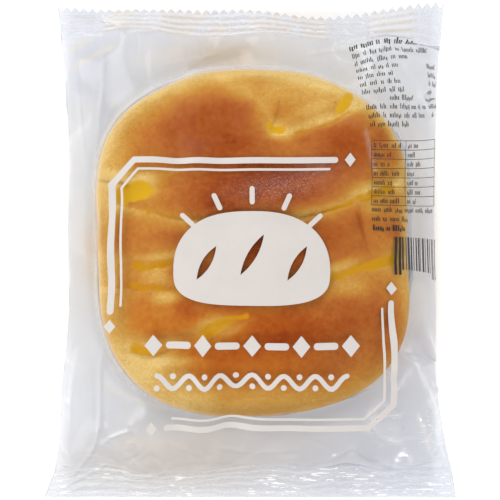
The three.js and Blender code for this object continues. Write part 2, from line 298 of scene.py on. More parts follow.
def make_bun():
    n = 288
    g = np.linspace(-1, 1, n + 1)
    a, b = np.meshgrid(g, g, indexing="xy")
    p, q = a * np.sqrt(1 - b * b / 2), b * np.sqrt(1 - a * a / 2)
    rho, th = np.hypot(p, q), np.arctan2(q, p)
    pr, pz, run = bun_profile()
    share = np.interp(rho, run, pr)
    z = np.interp(rho, run, pz)
    cx, cy = plan(*BUN_CENTRE)
    rad = bun_radius(th) * share
    x, y = cx + rad * np.cos(th), cy + rad * np.sin(th)
    base = np.stack([x, y, z], -1)
    du, dv = np.gradient(base, axis=1), np.gradient(base, axis=0)
    nrm = np.cross(du, dv)
    nrm /= np.linalg.norm(nrm, axis=-1, keepdims=True) + 1e-12
    # layout position of each point, as seen from above
    k = (CAM_Z - z) / CAM_D
    px, py = 250 + x / (UNIT * k), 250 - y / (UNIT * k)
    rim = share.copy()                                   # 1 at the girth
    low = smooth((BUN_GIRTH_Z - z) / BUN_GIRTH_Z)         # 1 at the foot

    # waver the fold lines a little, so that none is drawn with a ruler
    w1, w2 = lattice_noise(3), lattice_noise(5)
    qx = px + 1.1 * w1(px / 22, py / 22) + 0.6 * w2(px / 8, py / 8)
    qy = py + 1.1 * w1(px / 22 + 9, py / 22) + 0.6 * w2(px / 8 + 9, py / 8)
    sink = np.zeros_like(x)
    tint = np.zeros_like(x)
    crease_shade = np.zeros_like(x)
    calm = 1 - 0.55 * smooth((rim - 0.86) / 0.14)         # folds run out towards the sides
    for curve, depth, bank_up, bank_dn, lips in FOLDS.values():
        c = spline(curve)
        d, side, along = near_curve(qx, qy, c)
        # fade past the free ends
        over = np.where((along <= 0) | (along >= 1), d, 0.0)
        d = d * UNIT
        rightward = c[-1, 0] > c[0, 0]
        upper = (side < 0) if rightward else (side > 0)   # y runs down on the layout
        bank = np.where(upper, bank_up, bank_dn)
        dep = fold_depth(depth, along)
        soft = np.sqrt(d * d + 0.5 ** 2) - 0.5
        prof = 0.60 * np.exp(-soft / bank) + 0.40 * np.exp(-(d / (2.2 * bank)) ** 2)
        sink += dep * prof * calm * np.exp(-(over / 9.0) ** 2) * (1 - 0.75 * low)
        f = np.clip(dep / 1.0, 0, 1) * np.exp(-(over / 7.0) ** 2)
        lip = np.where(upper, lerp(lips[0], lips[1], along), lerp(lips[2], lips[3], along))
        tint += f * lip * np.exp(-(d / np.where(upper, 2.4, 3.0)) ** 1.5)
    for curve, depth in CREASES:
        c = spline(curve)
        d, side, along = near_curve(qx, qy, c)
        over = np.where((along <= 0) | (along >= 1), d, 0.0)
        dep = fold_depth(depth, along) * np.exp(-(over / 3.0) ** 2)
        d = d * UNIT
        sink += 0.75 * dep * np.exp(-(d / 0.55) ** 2)
        # how strongly painted shade darkens the crust along the crease
        crease_shade = np.maximum(crease_shade, dep * np.exp(-(d / 0.48) ** 2))
    lump = lattice_noise(11)
    sink += 0.55 * lump(x / 17, y / 17, z / 17) + 0.22 * lump(x / 7 + 5, y / 7, z / 7) + 0.55
    # shallow pits in the skin
    pit = lattice_noise(17)
    sink += 0.10 * np.clip(pit(x / 2.1, y / 2.1, z / 2.1) - 0.45, 0, 1) * (1 - low)
    side = UNIT * np.interp(np.degrees(th), np.linspace(-180, 180, len(BUN_SIDE)), BUN_SIDE)
    sink = lerp(sink, 0.15 * (sink - 0.55) - side, smooth((rim - 0.92) / 0.07))
    HUG.update(sink=film_over(sink), run=(pr, run))
    top = base - nrm * sink[..., None]
    top[..., 2] = np.maximum(top[..., 2], BUN_BASE_Z)

    # colour fields
    soak = lattice_noise(29)
    ux = qx + 1.6 * soak(px / 7, py / 7) + 0.9 * soak(px / 3 + 7, py / 3)
    uy = qy + 1.6 * soak(px / 7, py / 7 + 11) + 0.9 * soak(px / 3, py / 3 + 5)
    butter, tone = np.zeros_like(x), np.zeros_like(x)
    for curve, half0, half1, soft, amount, bright in BUTTER:
        c = spline(curve, 20) if len(curve) > 2 else np.asarray(curve, float)
        d, side, along = near_curve(ux, uy, c)
        upper = (side < 0) if c[-1, 0] > c[0, 0] else (side > 0)
        half = lerp(half0, half1, along)
        # crisp along its lower edge, and it fades into the lip above
        fade = np.where(upper, lerp(2.0 * soft + 0.9 * half, 1.6 * soft, bright), 1.6 * soft)
        f = amount * (1 - smooth((d - half + 0.5 * fade) / fade))
        f = f * (1 - 0.20 * (1 - bright) * (1 + soak(px / 6 + 3, py / 6 + 1)))
        tone = np.where(f > butter, bright, tone)
        butter = np.maximum(butter, f)
    patch = lattice_noise(23)
    bake = 0.50 + 0.03 * patch(px / 40, py / 40) + 0.04 * patch(px / 13 + 3, py / 13)
    for bx, by, rx, ry, turn, amount in BROWNING:
        c, s = math.cos(math.radians(turn)), math.sin(math.radians(turn))
        ex, ey = qx - bx, qy - by
        u, v = (ex * c - ey * s) / rx, (ex * s + ey * c) / ry
        bake += amount * np.exp(-(u * u + v * v) ** 1.4)
    e1, e2 = smooth((rim - 0.74) / 0.27), smooth((rim - 0.90) / 0.10)
    ct, st = np.cos(th), np.sin(th)
    bake += e1 * (-0.27 + 0.15 * ct - 0.02 * st) + e2 * (-0.14 - 0.09 * ct - 0.13 * st)
    bake += tint
    bake = np.where(low > 0, bake - 0.25 * low, bake)
    # the foot, where it stood on the tray, is brown again
    foot = smooth((2.5 - z) / 2.0)
    bake += 0.55 * foot
    bake = np.clip(bake, 0, 1)

    rows = [top.reshape(-1, 3)]
    bakes, butters, creases, tones = [bake.ravel()], [butter.ravel()], [crease_shade.ravel()], [tone.ravel()]
    idx = np.arange((n + 1) ** 2).reshape(n + 1, n + 1)
    quads = np.stack([idx[:-1, :-1], idx[:-1, 1:], idx[1:, 1:], idx[1:, :-1]], -1).reshape(-1, 4)
    faces = [quads]
    # underside: rings from the foot's rim to the middle
    rim_idx = np.r_[idx[0, :-1], idx[:-1, -1], idx[-1, :0:-1], idx[:0:-1, 0]]
    ring0 = top.reshape(-1, 3)[rim_idx]
    count = (n + 1) ** 2
    prev = rim_idx
    und = lattice_noise(31)
    m = len(rim_idx)
    for t in (0.93, 0.84, 0.7, 0.5, 0.25):
        ring = ring0.copy()
        ring[:, 0] = cx + (ring0[:, 0] - cx) * t
        ring[:, 1] = cy + (ring0[:, 1] - cy) * t
        ring[:, 2] = BUN_BASE_Z + 0.25 + 0.25 * und(ring[:, 0] / 9, ring[:, 1] / 9)
        cur = np.arange(count, count + m)
        rows.append(ring)
        bakes.append(np.full(m, 0.95)); butters.append(np.zeros(m)); creases.append(np.zeros(m)); tones.append(np.zeros(m))
        faces.append(np.stack([prev, np.roll(prev, -1), np.roll(cur, -1), cur], -1)[:, ::-1])
        prev, count = cur, count + m
    rows.append(np.array([[cx, cy, BUN_BASE_Z + 0.3]]))
    bakes.append([0.95]); butters.append([0.0]); creases.append([0.0]); tones.append([0.0])
    verts = np.vstack(rows)
    tris = np.stack([np.roll(prev, -1), prev, np.full(m, count)], -1)
    ob = mesh_object("bun", verts, [f for f in faces] + [tris])
    me = ob.data
    for name, vals in (("bake", bakes), ("butter", butters), ("crease_shade", creases), ("tone", tones)):
        at = me.attributes.new(name, "FLOAT", "POINT")
        at.data.foreach_set("value", np.concatenate(vals).astype(np.float32))
    return ob


def mesh_object(name, verts_mm, faces, smooth_shade=True):
    me = bpy.data.meshes.new(name)
    v = np.asarray(verts_mm, np.float64) * MM
    loops = np.concatenate([np.asarray(f).ravel() for f in faces]).astype(np.int32)
    sizes = np.concatenate([np.full(len(f), np.asarray(f).shape[1]) for f in faces]).astype(np.int32)
    starts = np.r_[0, np.cumsum(sizes)[:-1]].astype(np.int32)
    me.vertices.add(len(v))
    me.vertices.foreach_set("co", v.astype(np.float32).ravel())
    me.loops.add(len(loops))
    me.loops.foreach_set("vertex_index", loops)
    me.polygons.add(len(sizes))
    me.polygons.foreach_set("loop_start", starts)
    me.polygons.foreach_set("loop_total", sizes)
    me.update(calc_edges=True)
    me.validate()
    if smooth_shade:
        me.polygons.foreach_set("use_smooth", np.ones(len(sizes), bool))
    ob = bpy.data.objects.new(name, me)
    bpy.context.scene.collection.objects.link(ob)
    return ob


# ---------------------------------------------------------------- the bag
# The film is a tube, flat size FLAT_W by FLAT_L, pressed shut at both ends. It is relaxed over the bun as a
# sheet that bends but doesn't stretch, from a coarse net to a fine one.
FLAT_W = 145.0
FLAT_L = 182.0
SEAL_BOTTOM = 10.8         # flat length of each end seal
SEAL_TOP = 9.6
PLY_GAP = 0.16             # between the two plies in a seal
FILM_OFF = 0.55            # film over the bun's smooth envelope, before it settles onto the bun


def top_edge(x):
    return 84.3 - 2.5 * np.exp(-((x - 24) / 17) ** 2) + 2.85 * smooth((x - 38) / 30) + 1.3 * smooth((-50 - x) / 18)


def bottom_edge(x):
    return -86.8 - 0.35 * smooth((np.abs(x) - 50) / 22)


def top_inner(x):
    return 75.0 - 0.03 * x + 0.9 * np.sin(x / 7.5 + 0.5)


def bottom_inner(x):
    return -76.3 + 1.2 * np.sin(x / 9.0 + 0.9) + 3.6 * np.exp(-((x - 34) / 9) ** 2) - 1.4 * np.exp(-((x + 40) / 12) ** 2)


def seal_place(u, t, top):
    """A point of a seal: u across the flat film, t from the pouch (0) to the cut edge (1)."""
    s = 2 * u / FLAT_W - 1
    if top:
        x = s * np.where(s < 0, lerp(66.3, 67.6, t), lerp(66.9, 68.3, t))
        y = lerp(top_inner(x), top_edge(x), t)
        z = 13.0 + 3.2 * (1 - s * s) + (2.6 - 0.5 * t) * np.sin(2 * math.pi * (x + 6) / 47) * (1 - 0.3 * s * s)
    else:
        x = s * np.where(s < 0, lerp(68.4, 72.5, t), lerp(70.6, 72.5, t))
        y = lerp(bottom_inner(x), bottom_edge(x), t)
        z = 11.5 + 2.0 * (1 - s * s) + 1.0 * np.sin(2 * math.pi * (x - 12) / 58) - 1.5 * t
    return x, y, z


# The bag's two sides as seen from above: layout x at layout y.
SIDE_Y = (40, 60, 90, 120, 165, 230, 310, 345, 375, 410, 440, 455, 468)
SIDE_LEFT = (60, 63.5, 66, 68, 70, 68, 70, 67, 63, 61, 59, 57, 54)
SIDE_RIGHT = (441, 440, 438, 437, 436, 436, 437.5, 436, 437, 440.5, 446, 449, 452)


def side_guides(y):
    """Where the tube's sides lie, in millimetres, at plan position y."""
    py = 250.0 - y / UNIT
    return (np.interp(py, SIDE_Y, SIDE_LEFT) - 250) * UNIT, (np.interp(py, SIDE_Y, SIDE_RIGHT) - 250) * UNIT


def relax_bag():
    """The film's net at its finest: X[row, column], columns run once round the tube from the left side."""
    cx, cy = plan(*BUN_CENTRE)
    e1, e2 = 2 / 0.86, 2 / 0.92
    top_h = BUN_HEIGHT - BUN_GIRTH_Z + FILM_OFF
    rng = np.random.default_rng(7)

    def net(nu, nv):
        c = np.arange(2 * nu)
        u = np.where(c <= nu, c, 2 * nu - c) * FLAT_W / nu
        front = np.where((c == 0) | (c == nu), 0.0, np.where(c < nu, 1.0, -1.0))
        v = np.arange(nv + 1) * FLAT_L / nv
        return u, front, v

    def start(u, front, v):
        """A plain pillow to begin from."""
        s = 2 * u / FLAT_W - 1
        w = np.clip((v - SEAL_BOTTOM) / (FLAT_L - SEAL_BOTTOM - SEAL_TOP), 0, 1)[:, None] * 2 - 1
        xb, yb, zb = seal_place(u, 0.0, False)
        xt, yt, zt = seal_place(u, 0.0, True)
        f = (w + 1) / 2
        swell = np.clip(1 - np.abs(w) ** 2.6, 0, 1)
        x = lerp(xb, xt, f) * (1 - 0.075 * swell)
        y = lerp(yb, yt, f)
        seal = lerp(zb, zt, f)
        mid = lerp(seal, 16.0, swell)
        prof = np.clip(1 - np.abs(s) ** 2.4, 0, 1) ** 0.6
        up = (BUN_HEIGHT + 1.5 - mid) * swell ** 0.8 * prof
        dn = (mid - 0.1) * np.clip(swell * 1.3, 0, 1) * np.clip(prof * 1.3, 0, 1)
        z = mid + np.where(front > 0, up, np.where(front < 0, -dn, 0.0))
        return np.stack([x, y, z], -1)

    def pin(X, u, front, v):
        lo, hi = v <= SEAL_BOTTOM + 1e-6, v >= FLAT_L - SEAL_TOP - 1e-6
        for rows, top in ((lo, False), (hi, True)):
            t = ((SEAL_BOTTOM - v[rows]) / SEAL_BOTTOM if not top else (v[rows] - FLAT_L + SEAL_TOP) / SEAL_TOP)[:, None]
            x, y, z = seal_place(u[None, :], t, top)
            X[rows] = np.stack(np.broadcast_arrays(x, y, z + 0.5 * PLY_GAP * front), -1)
        return lo | hi

    def pull(A, B, wa, wb, rest, k):
        d = B - A
        ln = np.sqrt((d * d).sum(-1))
        s = (k * (ln - rest) / (ln * (wa + wb) + 1e-9))[..., None]
        d *= s
        return A + d * wa[..., None], B - d * wb[..., None]

    def collide(X):
        rx, ry, z = X[..., 0] - cx, X[..., 1] - cy, X[..., 2]
        r = np.hypot(rx, ry) + 1e-9
        R = bun_radius(np.arctan2(ry, rx)) + FILM_OFF
        q = r / R
        zeta = np.clip((z - BUN_GIRTH_Z) / top_h, 0, None)
        F = q ** e1 + zeta ** e2 - 1
        inside = (F < 0) & (z > 3.0)
        if inside.any():
            fr = e1 * q ** (e1 - 1) / R
            fz = np.where(zeta > 0, e2 * np.maximum(zeta, 1e-6) ** (e2 - 1) / top_h, 0.0)
            g = np.clip(-F / (fr * fr + fz * fz + 1e-9), 0, None)
            mag = np.hypot(fr, fz) * g
            g = np.where(mag > 1.5, g * 1.5 / np.maximum(mag, 1e-9), g) * inside
            X[..., 0] += g * fr * rx / r
            X[..., 1] += g * fr * ry / r
            X[..., 2] += g * fz
        X[..., 2] = np.maximum(X[..., 2], 0.06)

    X = None
    for nu, nv, rounds, puff, bend in ((32, 40, 360, 0.004, 0.05), (64, 80, 300, 0.002, 0.04), (128, 160, 220, 0.0006, 0.03)):
        u, front, v = net(nu, nv)
        if X is None:
            X = start(u, front, v)
        else:
            Y = np.empty((2 * X.shape[0] - 1, 2 * X.shape[1], 3))
            Y[0::2, 0::2] = X
            Y[0::2, 1::2] = (X + np.roll(X, -1, 1)) / 2
            Y[1::2] = (Y[0:-1:2] + Y[2::2]) / 2
            X = Y
        held = pin(X, u, front, v)
        w = np.ones(X.shape[:2])
        w[held] = 0.0
        free = (w > 0)[..., None]
        X += rng.normal(0, 0.12 * 128 / nu / 4, X.shape) * free
        du, dv = FLAT_W / nu, FLAT_L / nv
        diag = math.hypot(du, dv)
        C = X.shape[1]
        odd_b = np.r_[np.arange(2, C, 2), 0]
        for it in range(rounds):
            # a little air inside
            gu = np.roll(X, -1, 1) - np.roll(X, 1, 1)
            gv = np.zeros_like(X)
            gv[1:-1] = X[2:] - X[:-2]
            nrm = np.cross(gu, gv)
            nrm /= np.linalg.norm(nrm, axis=-1, keepdims=True) + 1e-9
            X += nrm * puff * free
            X[..., 2] -= 0.002 * w
            # the film is stiff: it won't crease sharply
            lap = np.zeros_like(X)
            lap[1:-1] = (np.roll(X, 1, 1)[1:-1] + np.roll(X, -1, 1)[1:-1] + X[2:] + X[:-2]) / 4 - X[1:-1]
            bi = np.zeros_like(X)
            bi[2:-2] = (np.roll(lap, 1, 1)[2:-2] + np.roll(lap, -1, 1)[2:-2] + lap[3:-1] + lap[1:-3]) / 4 - lap[2:-2]
            X -= bend * bi * free
            # it doesn't stretch
            a, b = pull(X[:, 0::2], X[:, 1::2], w[:, 0::2], w[:, 1::2], du, 1.0)
            X[:, 0::2], X[:, 1::2] = a, b
            a, b = pull(X[:, 1::2], X[:, odd_b], w[:, 1::2], w[:, odd_b], du, 1.0)
            X[:, 1::2], X[:, odd_b] = a, b
            for o in (0, 1):
                n_pair = (X.shape[0] - o) // 2
                ra, rb = slice(o, o + 2 * n_pair, 2), slice(o + 1, o + 1 + 2 * n_pair, 2)
                a, b = pull(X[ra], X[rb], w[ra], w[rb], dv, 1.0)
                X[ra], X[rb] = a, b
                for step in (-1, 1):
                    a, b = pull(X[ra], np.roll(X[rb], step, 1), w[ra], np.roll(w[rb], step, 1), diag, 0.5)
                    X[ra], X[rb] = a, np.roll(b, -step, 1)
            collide(X)
            # the sides settle on their lines
            for col, which in ((0, 0), (nu, 1)):
                want = side_guides(X[:, col, 1])[which]
                X[:, col, 0] += 0.25 * (want - X[:, col, 0]) * w[:, col]
            lo, hi = side_guides(X[..., 1])
            X[..., 0] = np.where(free[..., 0], np.clip(X[..., 0], lo, hi), X[..., 0])
    # the back lies smooth outside the bun
    rx, ry = X[..., 0] - cx, X[..., 1] - cy
    off = np.hypot(rx, ry) - bun_radius(np.arctan2(ry, rx))
    share = (0.9 * smooth((off - 1.0) / 6.0) * (front < 0) * w)[..., None]
    for it in range(500):
        mean = (np.roll(X, 1, 1)[1:-1] + np.roll(X, -1, 1)[1:-1] + X[2:] + X[:-2]) / 4
        X[1:-1] += share[1:-1] * (mean - X[1:-1])
    X[..., 2] = np.maximum(X[..., 2], 0.06)
    return X


# Sharp creases in the film's front: a curve on the layout, its height in millimetres (below 0 it goes in), how
# far its flanks reach, and how much it shines.
FILM_CREASES = (
    ([(104, 40), (102, 80), (100, 110), (97, 150), (95, 186)], 0.40, 1.3, 0.0),
    ([(78, 42), (79, 90), (83, 140), (90, 182)], 0.30, 1.5, 0.0),
    ([(104, 340), (100, 370), (99, 400), (98, 430), (94, 448), (84, 462), (70, 478), (56, 490)], 0.60, 1.4, 0.03),
    ([(73, 330), (72, 365), (71, 400), (70, 430)], 0.40, 1.6, 0.02),
    ([(101, 443), (112, 437), (124, 432), (137, 430)], 0.60, 1.2, 0.12),
    ([(117, 474), (130, 478), (146, 478), (160, 474), (173, 466)], 0.60, 1.3, 0.06),
    ([(128, 466), (140, 458), (150, 452), (160, 458), (172, 464)], 0.35, 1.2, 0.04),
    ([(53, 492), (70, 484), (92, 472), (112, 461)], 0.55, 1.1, 0.10),
    ([(60, 494), (85, 486), (112, 479)], 0.45, 1.0, 0.08),
    ([(126, 447), (134, 442), (141, 452)], 0.35, 1.0, 0.06),
    ([(408, 350), (416, 362), (424, 382), (430, 402), (436, 425), (438, 445), (439, 470)], 0.90, 1.5, 0.16),
    ([(368, 413), (378, 408), (389, 405)], 0.55, 1.2, 0.16),
    ([(371, 419), (385, 416), (400, 417)], 0.55, 1.0, 0.18),
    ([(373, 424), (380, 434), (392, 441), (402, 443)], -0.45, 1.3, 0.18),
    ([(366, 428), (372, 438), (384, 447)], 0.35, 1.1, 0.10),
    ([(350, 448), (370, 457), (392, 467), (415, 473), (442, 472)], 0.70, 1.5, 0.05),
    ([(318, 465), (336, 458), (354, 449), (368, 458), (384, 466)], 0.45, 1.2, 0.03),
    ([(397, 459), (402, 455), (408, 456), (411, 461)], 0.55, 0.9, 0.40),
    ([(418, 415), (424, 428), (429, 441)], 0.50, 1.0, 0.20),
    ([(426, 440), (432, 455), (437, 468)], 0.45, 1.0, 0.14),
    ([(410, 372), (402, 384), (396, 396)], 0.40, 1.2, 0.08),
    ([(97, 18), (112, 24), (131, 31)], 0.60, 1.2, 0.05),
    ([(131, 31), (148, 31), (166, 28)], 0.45, 1.0, 0.10),
    ([(150, 67), (190, 60), (230, 52), (264, 45)], 0.14, 1.5, 0.01),
    ([(196, 66), (228, 58), (262, 54)], 0.16, 1.2, 0.01),
    ([(404, 64), (409, 74), (416, 88), (424, 102), (430, 112)], 0.60, 1.2, 0.10),
    ([(366, 131), (369, 146), (372, 158), (375, 170)], 0.20, 0.6, 0.12),
    ([(300, 56), (340, 50), (372, 52)], 0.30, 1.4, 0.02),
    ([(205, 446), (250, 452), (300, 450)], 0.30, 1.6, 0.02),
    ([(160, 440), (190, 452), (214, 462)], 0.30, 1.4, 0.02),
    ([(300, 436), (322, 446), (340, 458)], -0.30, 1.4, 0.02),
)

# Soft streaks of painted light on the loose film, and of painted shade where the amount is below 0: a curve, its half
# width, how much, and how warm.
FILM_STREAKS = (
    ([(64, 54), (78, 47), (94, 38)], 2.6, 0.26, 0.8),
    ([(68, 70), (92, 57), (122, 43)], 3.0, 0.30, 0.9),
    ([(124, 64), (152, 60), (190, 54)], 11.0, 0.20, 0.25),
    ([(180, 70), (215, 60), (256, 51)], 2.6, -0.30, 0.4),
    ([(196, 62), (225, 52), (258, 44)], 2.2, -0.25, 0.4),
    ([(106, 56), (107, 90), (103, 124)], 4.0, -0.22, 0.0),
    ([(78, 36), (76, 60), (79, 100)], 2.0, -0.16, 0.0),
    ([(72, 14), (84, 18), (98, 22)], 5.0, -0.22, 0.2),
    ([(97, 18), (114, 25), (134, 31)], 2.2, -0.22, 0.7),
    ([(140, 16), (152, 18), (164, 20)], 7.0, 0.10, -0.8),
    ([(372, 70), (400, 84), (424, 100)], 9.0, 0.10, 0.0),
    ([(112, 140), (128, 112), (150, 91), (182, 74)], 5.0, 0.22, -0.2),
    ([(410, 120), (420, 150), (424, 185)], 7.0, 0.12, 0.0),
    ([(118, 412), (126, 418), (138, 422)], 5.0, 0.10, 0.2),
    ([(101, 342), (107, 362), (121, 381), (141, 394)], 2.2, 0.20, 0.3),
    ([(103, 358), (113, 376), (136, 394)], 2.4, -0.24, 0.0),
    ([(99, 374), (112, 388), (140, 401), (170, 410)], 2.4, 0.24, 0.5),
    ([(84, 36), (92, 66), (84, 100)], 16.0, -0.36, 0.0),
    ([(110, 436), (200, 442), (300, 441), (396, 422)], 13.0, 0.16, 0.0),
    ([(411, 350), (424, 378), (433, 398), (437, 418), (440, 442), (449, 472)], 1.6, 0.36, 0.0),
    ([(425, 386), (430, 404), (433, 424)], 2.2, -0.20, 0.0),
    ([(412, 364), (406, 378), (400, 392)], 4.0, 0.20, 0.0),
    ([(368, 432), (373, 412), (384, 394)], 7.0, 0.14, -0.2),
    ([(417, 416), (424, 434), (432, 452)], 2.6, 0.16, 0.5),
    ([(112, 438), (140, 440), (168, 446)], 9.0, 0.10, 0.0),
    ([(76, 342), (73, 368), (69, 400)], 1.8, 0.32, 0.0),
    ([(110, 446), (140, 440), (190, 446)], 6.0, 0.07, 0.3),
    ([(122, 468), (146, 470), (168, 466)], 5.0, -0.26, 0.1),
    ([(112, 470), (140, 479), (176, 466), (214, 463), (248, 466)], 1.6, -0.26, 0.1),
    ([(112, 466), (134, 456), (150, 451), (162, 458), (178, 464)], 1.6, -0.20, 0.1),
    ([(352, 452), (364, 456), (378, 466)], 5.0, -0.26, 0.1),
    ([(268, 466), (310, 466), (334, 458), (356, 448), (374, 458), (392, 470), (440, 472)], 1.6, -0.26, 0.1),
    ([(376, 426), (388, 430), (402, 432)], 9.0, 0.20, 0.0),
    ([(416, 278), (424, 300), (422, 325)], 7.0, 0.20, 0.0),
    ([(250, 436), (300, 434), (340, 424)], 8.0, -0.06, 0.0),
)


class Film:
    """The relaxed film, read at any flat position."""

    def __init__(self, net):
        self.net = net
        self.rows, self.cols = net.shape[0], net.shape[1]
        self.waver = lattice_noise(47)
        self.press = lattice_noise(53)

    def at(self, u, v):
        """u runs round the tube: 0..FLAT_W across the front, on to 2*FLAT_W across the back. v from the bottom edge."""
        r = np.clip(np.asarray(v, float) / FLAT_L * (self.rows - 1), 0, self.rows - 1 - 1e-6)
        c = np.asarray(u, float) / (2 * FLAT_W) * self.cols
        r, c = np.broadcast_arrays(r, c)
        r0, c0 = np.floor(r).astype(int), np.floor(c).astype(int)
        fr, fc = r - r0, c - c0

        def weights(t):
            return (0.5 * (-t + 2 * t * t - t ** 3), 0.5 * (2 - 5 * t * t + 3 * t ** 3),
                    0.5 * (t + 4 * t * t - 3 * t ** 3), 0.5 * (-t * t + t ** 3))
        wr, wc = weights(fr), weights(fc)
        out = np.zeros(r.shape + (3,))
        for i in range(4):
            ri = np.clip(r0 + i - 1, 0, self.rows - 1)
            for j in range(4):
                out += (wr[i] * wc[j])[..., None] * self.net[ri, (c0 + j - 1) % self.cols]
        return out

    def crimp(self, u, v):
        """Ridges pressed across the seals, as a rise."""
        u = np.where(u <= FLAT_W, u, 2 * FLAT_W - u)            # both plies are pressed together
        s = 2 * u / FLAT_W - 1
        out = np.zeros(np.broadcast(u, v).shape)
        for lo, hi, n, rise in ((0.0, SEAL_BOTTOM, 4, 0.17), (FLAT_L - SEAL_TOP, FLAT_L, 4.5, 0.08)):
            t = (v - lo) / (hi - lo)
            inside = smooth((t - 0.02) / 0.12) * smooth((0.99 - t) / 0.06)
            uneven = 1 + 0.5 * self.press(u / 9.0, v / 3.5) + 0.6 * self.press(u / 21.0 + 4, v / 6.0)
            sway = 0.12 * np.sin(7 * s) + 0.25 * self.press(u / 11.0 + 9, v / 7.0)
            out = out + inside * uneven * rise * np.cos(2 * math.pi * (n * t + sway)) * (1 - np.abs(s) ** 10)
        return out

    def creased(self, u, v):
        """The film with its sharp creases."""
        u, v = np.broadcast_arrays(np.asarray(u, float), np.asarray(v, float))
        p = self.at(u, v)
        k = (CAM_Z - p[..., 2]) / CAM_D
        px, py = 250 + p[..., 0] / (UNIT * k), 250 - p[..., 1] / (UNIT * k)
        px, py = px + 1.2 * self.waver(px / 11, py / 11), py + 1.2 * self.waver(px / 11 + 7, py / 11)
        rise = np.zeros(px.shape)
        for curve, height, reach, _ in FILM_CREASES:
            c = spline(curve, 24)
            lo, hi = c.min(0) - 14, c.max(0) + 14
            m = (u < FLAT_W) & (px > lo[0]) & (px < hi[0]) & (py > lo[1]) & (py < hi[1])
            if m.any():
                d, _, along = near_curve(px[m], py[m], c)
                d = d * UNIT
                rise[m] += height * np.exp(-(np.sqrt(d * d + 0.09) - 0.3) / reach) * smooth(along / 0.25) * smooth((1 - along) / 0.25)
        e = 0.5
        n = np.cross(self.at(u + e, v) - self.at(u - e, v), self.at(u, v + e) - self.at(u, v - e))
        n /= np.linalg.norm(n, axis=-1, keepdims=True) + 1e-12
        rise -= np.where(u < FLAT_W, hug(p[..., 0], p[..., 1], p[..., 2]), 0.0)
        return p + n * rise[..., None]

    def place(self, u, v):
        p = self.creased(u, v)
        p[..., 2] += self.crimp(np.asarray(u, float), np.asarray(v, float))
        p[..., 2] = np.maximum(p[..., 2], 0.04)
        return p


TEETH = 44
TOOTH_DEPTH = 1.6


def make_film(film):
    per = 4 * TEETH                                     # columns on each side
    j = np.arange(2 * per)
    u = j * FLAT_W / per
    tooth = np.abs(((j / 4.0) % 1.0) * 2 - 1)            # 1 on a tip, 0 between two teeth
    tooth = np.where(j == 0, 1, tooth)
    v_b = np.linspace(0, SEAL_BOTTOM, 27)[:-1]
    v_m = np.linspace(SEAL_BOTTOM, FLAT_L - SEAL_TOP, 186)[:-1]
    t_t = np.linspace(0, 1, 27)
    end = FLAT_L - TOOTH_DEPTH * (1 - tooth)
    v = np.vstack([np.repeat(np.r_[v_b, v_m][:, None], 2 * per, 1),
                   FLAT_L - SEAL_TOP + t_t[:, None] * (end - FLAT_L + SEAL_TOP)[None, :]])
    p = film.place(np.broadcast_to(u, v.shape), v)
    R, C = v.shape
    idx = np.arange(R * C).reshape(R, C)
    nxt = np.roll(idx, -1, 1)
    quads = np.stack([idx[:-1], nxt[:-1], nxt[1:], idx[1:]], -1).reshape(-1, 4)
    ends = []
    for row, flip in ((0, False), (R - 1, True)):
        f, b = idx[row, :per + 1], np.r_[idx[row, 0], idx[row, :per - 1:-1]]
        strip = np.stack([f[:-1], b[:-1], b[1:], f[1:]], -1)
        if flip:
            strip = strip[:, ::-1]
        ends.append(strip[1:-1])
        t0, t1 = strip[0], strip[-1]
        for q in (t0, t1):
            tri = [k for i, k in enumerate(q) if k not in q[:i]]
            ends.append(np.array([tri]))
    ob = mesh_object("bag_film", p.reshape(-1, 3), [quads] + ends)
    for name, field in zip(("milk_and_painted_light", "sheen_speck", "gleam", "warm", "cool", "glint", "dim"), film_fields(p, np.broadcast_to(u, v.shape), v)):
        at = ob.data.attributes.new(name, "FLOAT", "POINT")
        at.data.foreach_set("value", field.ravel().astype(np.float32))
    return ob


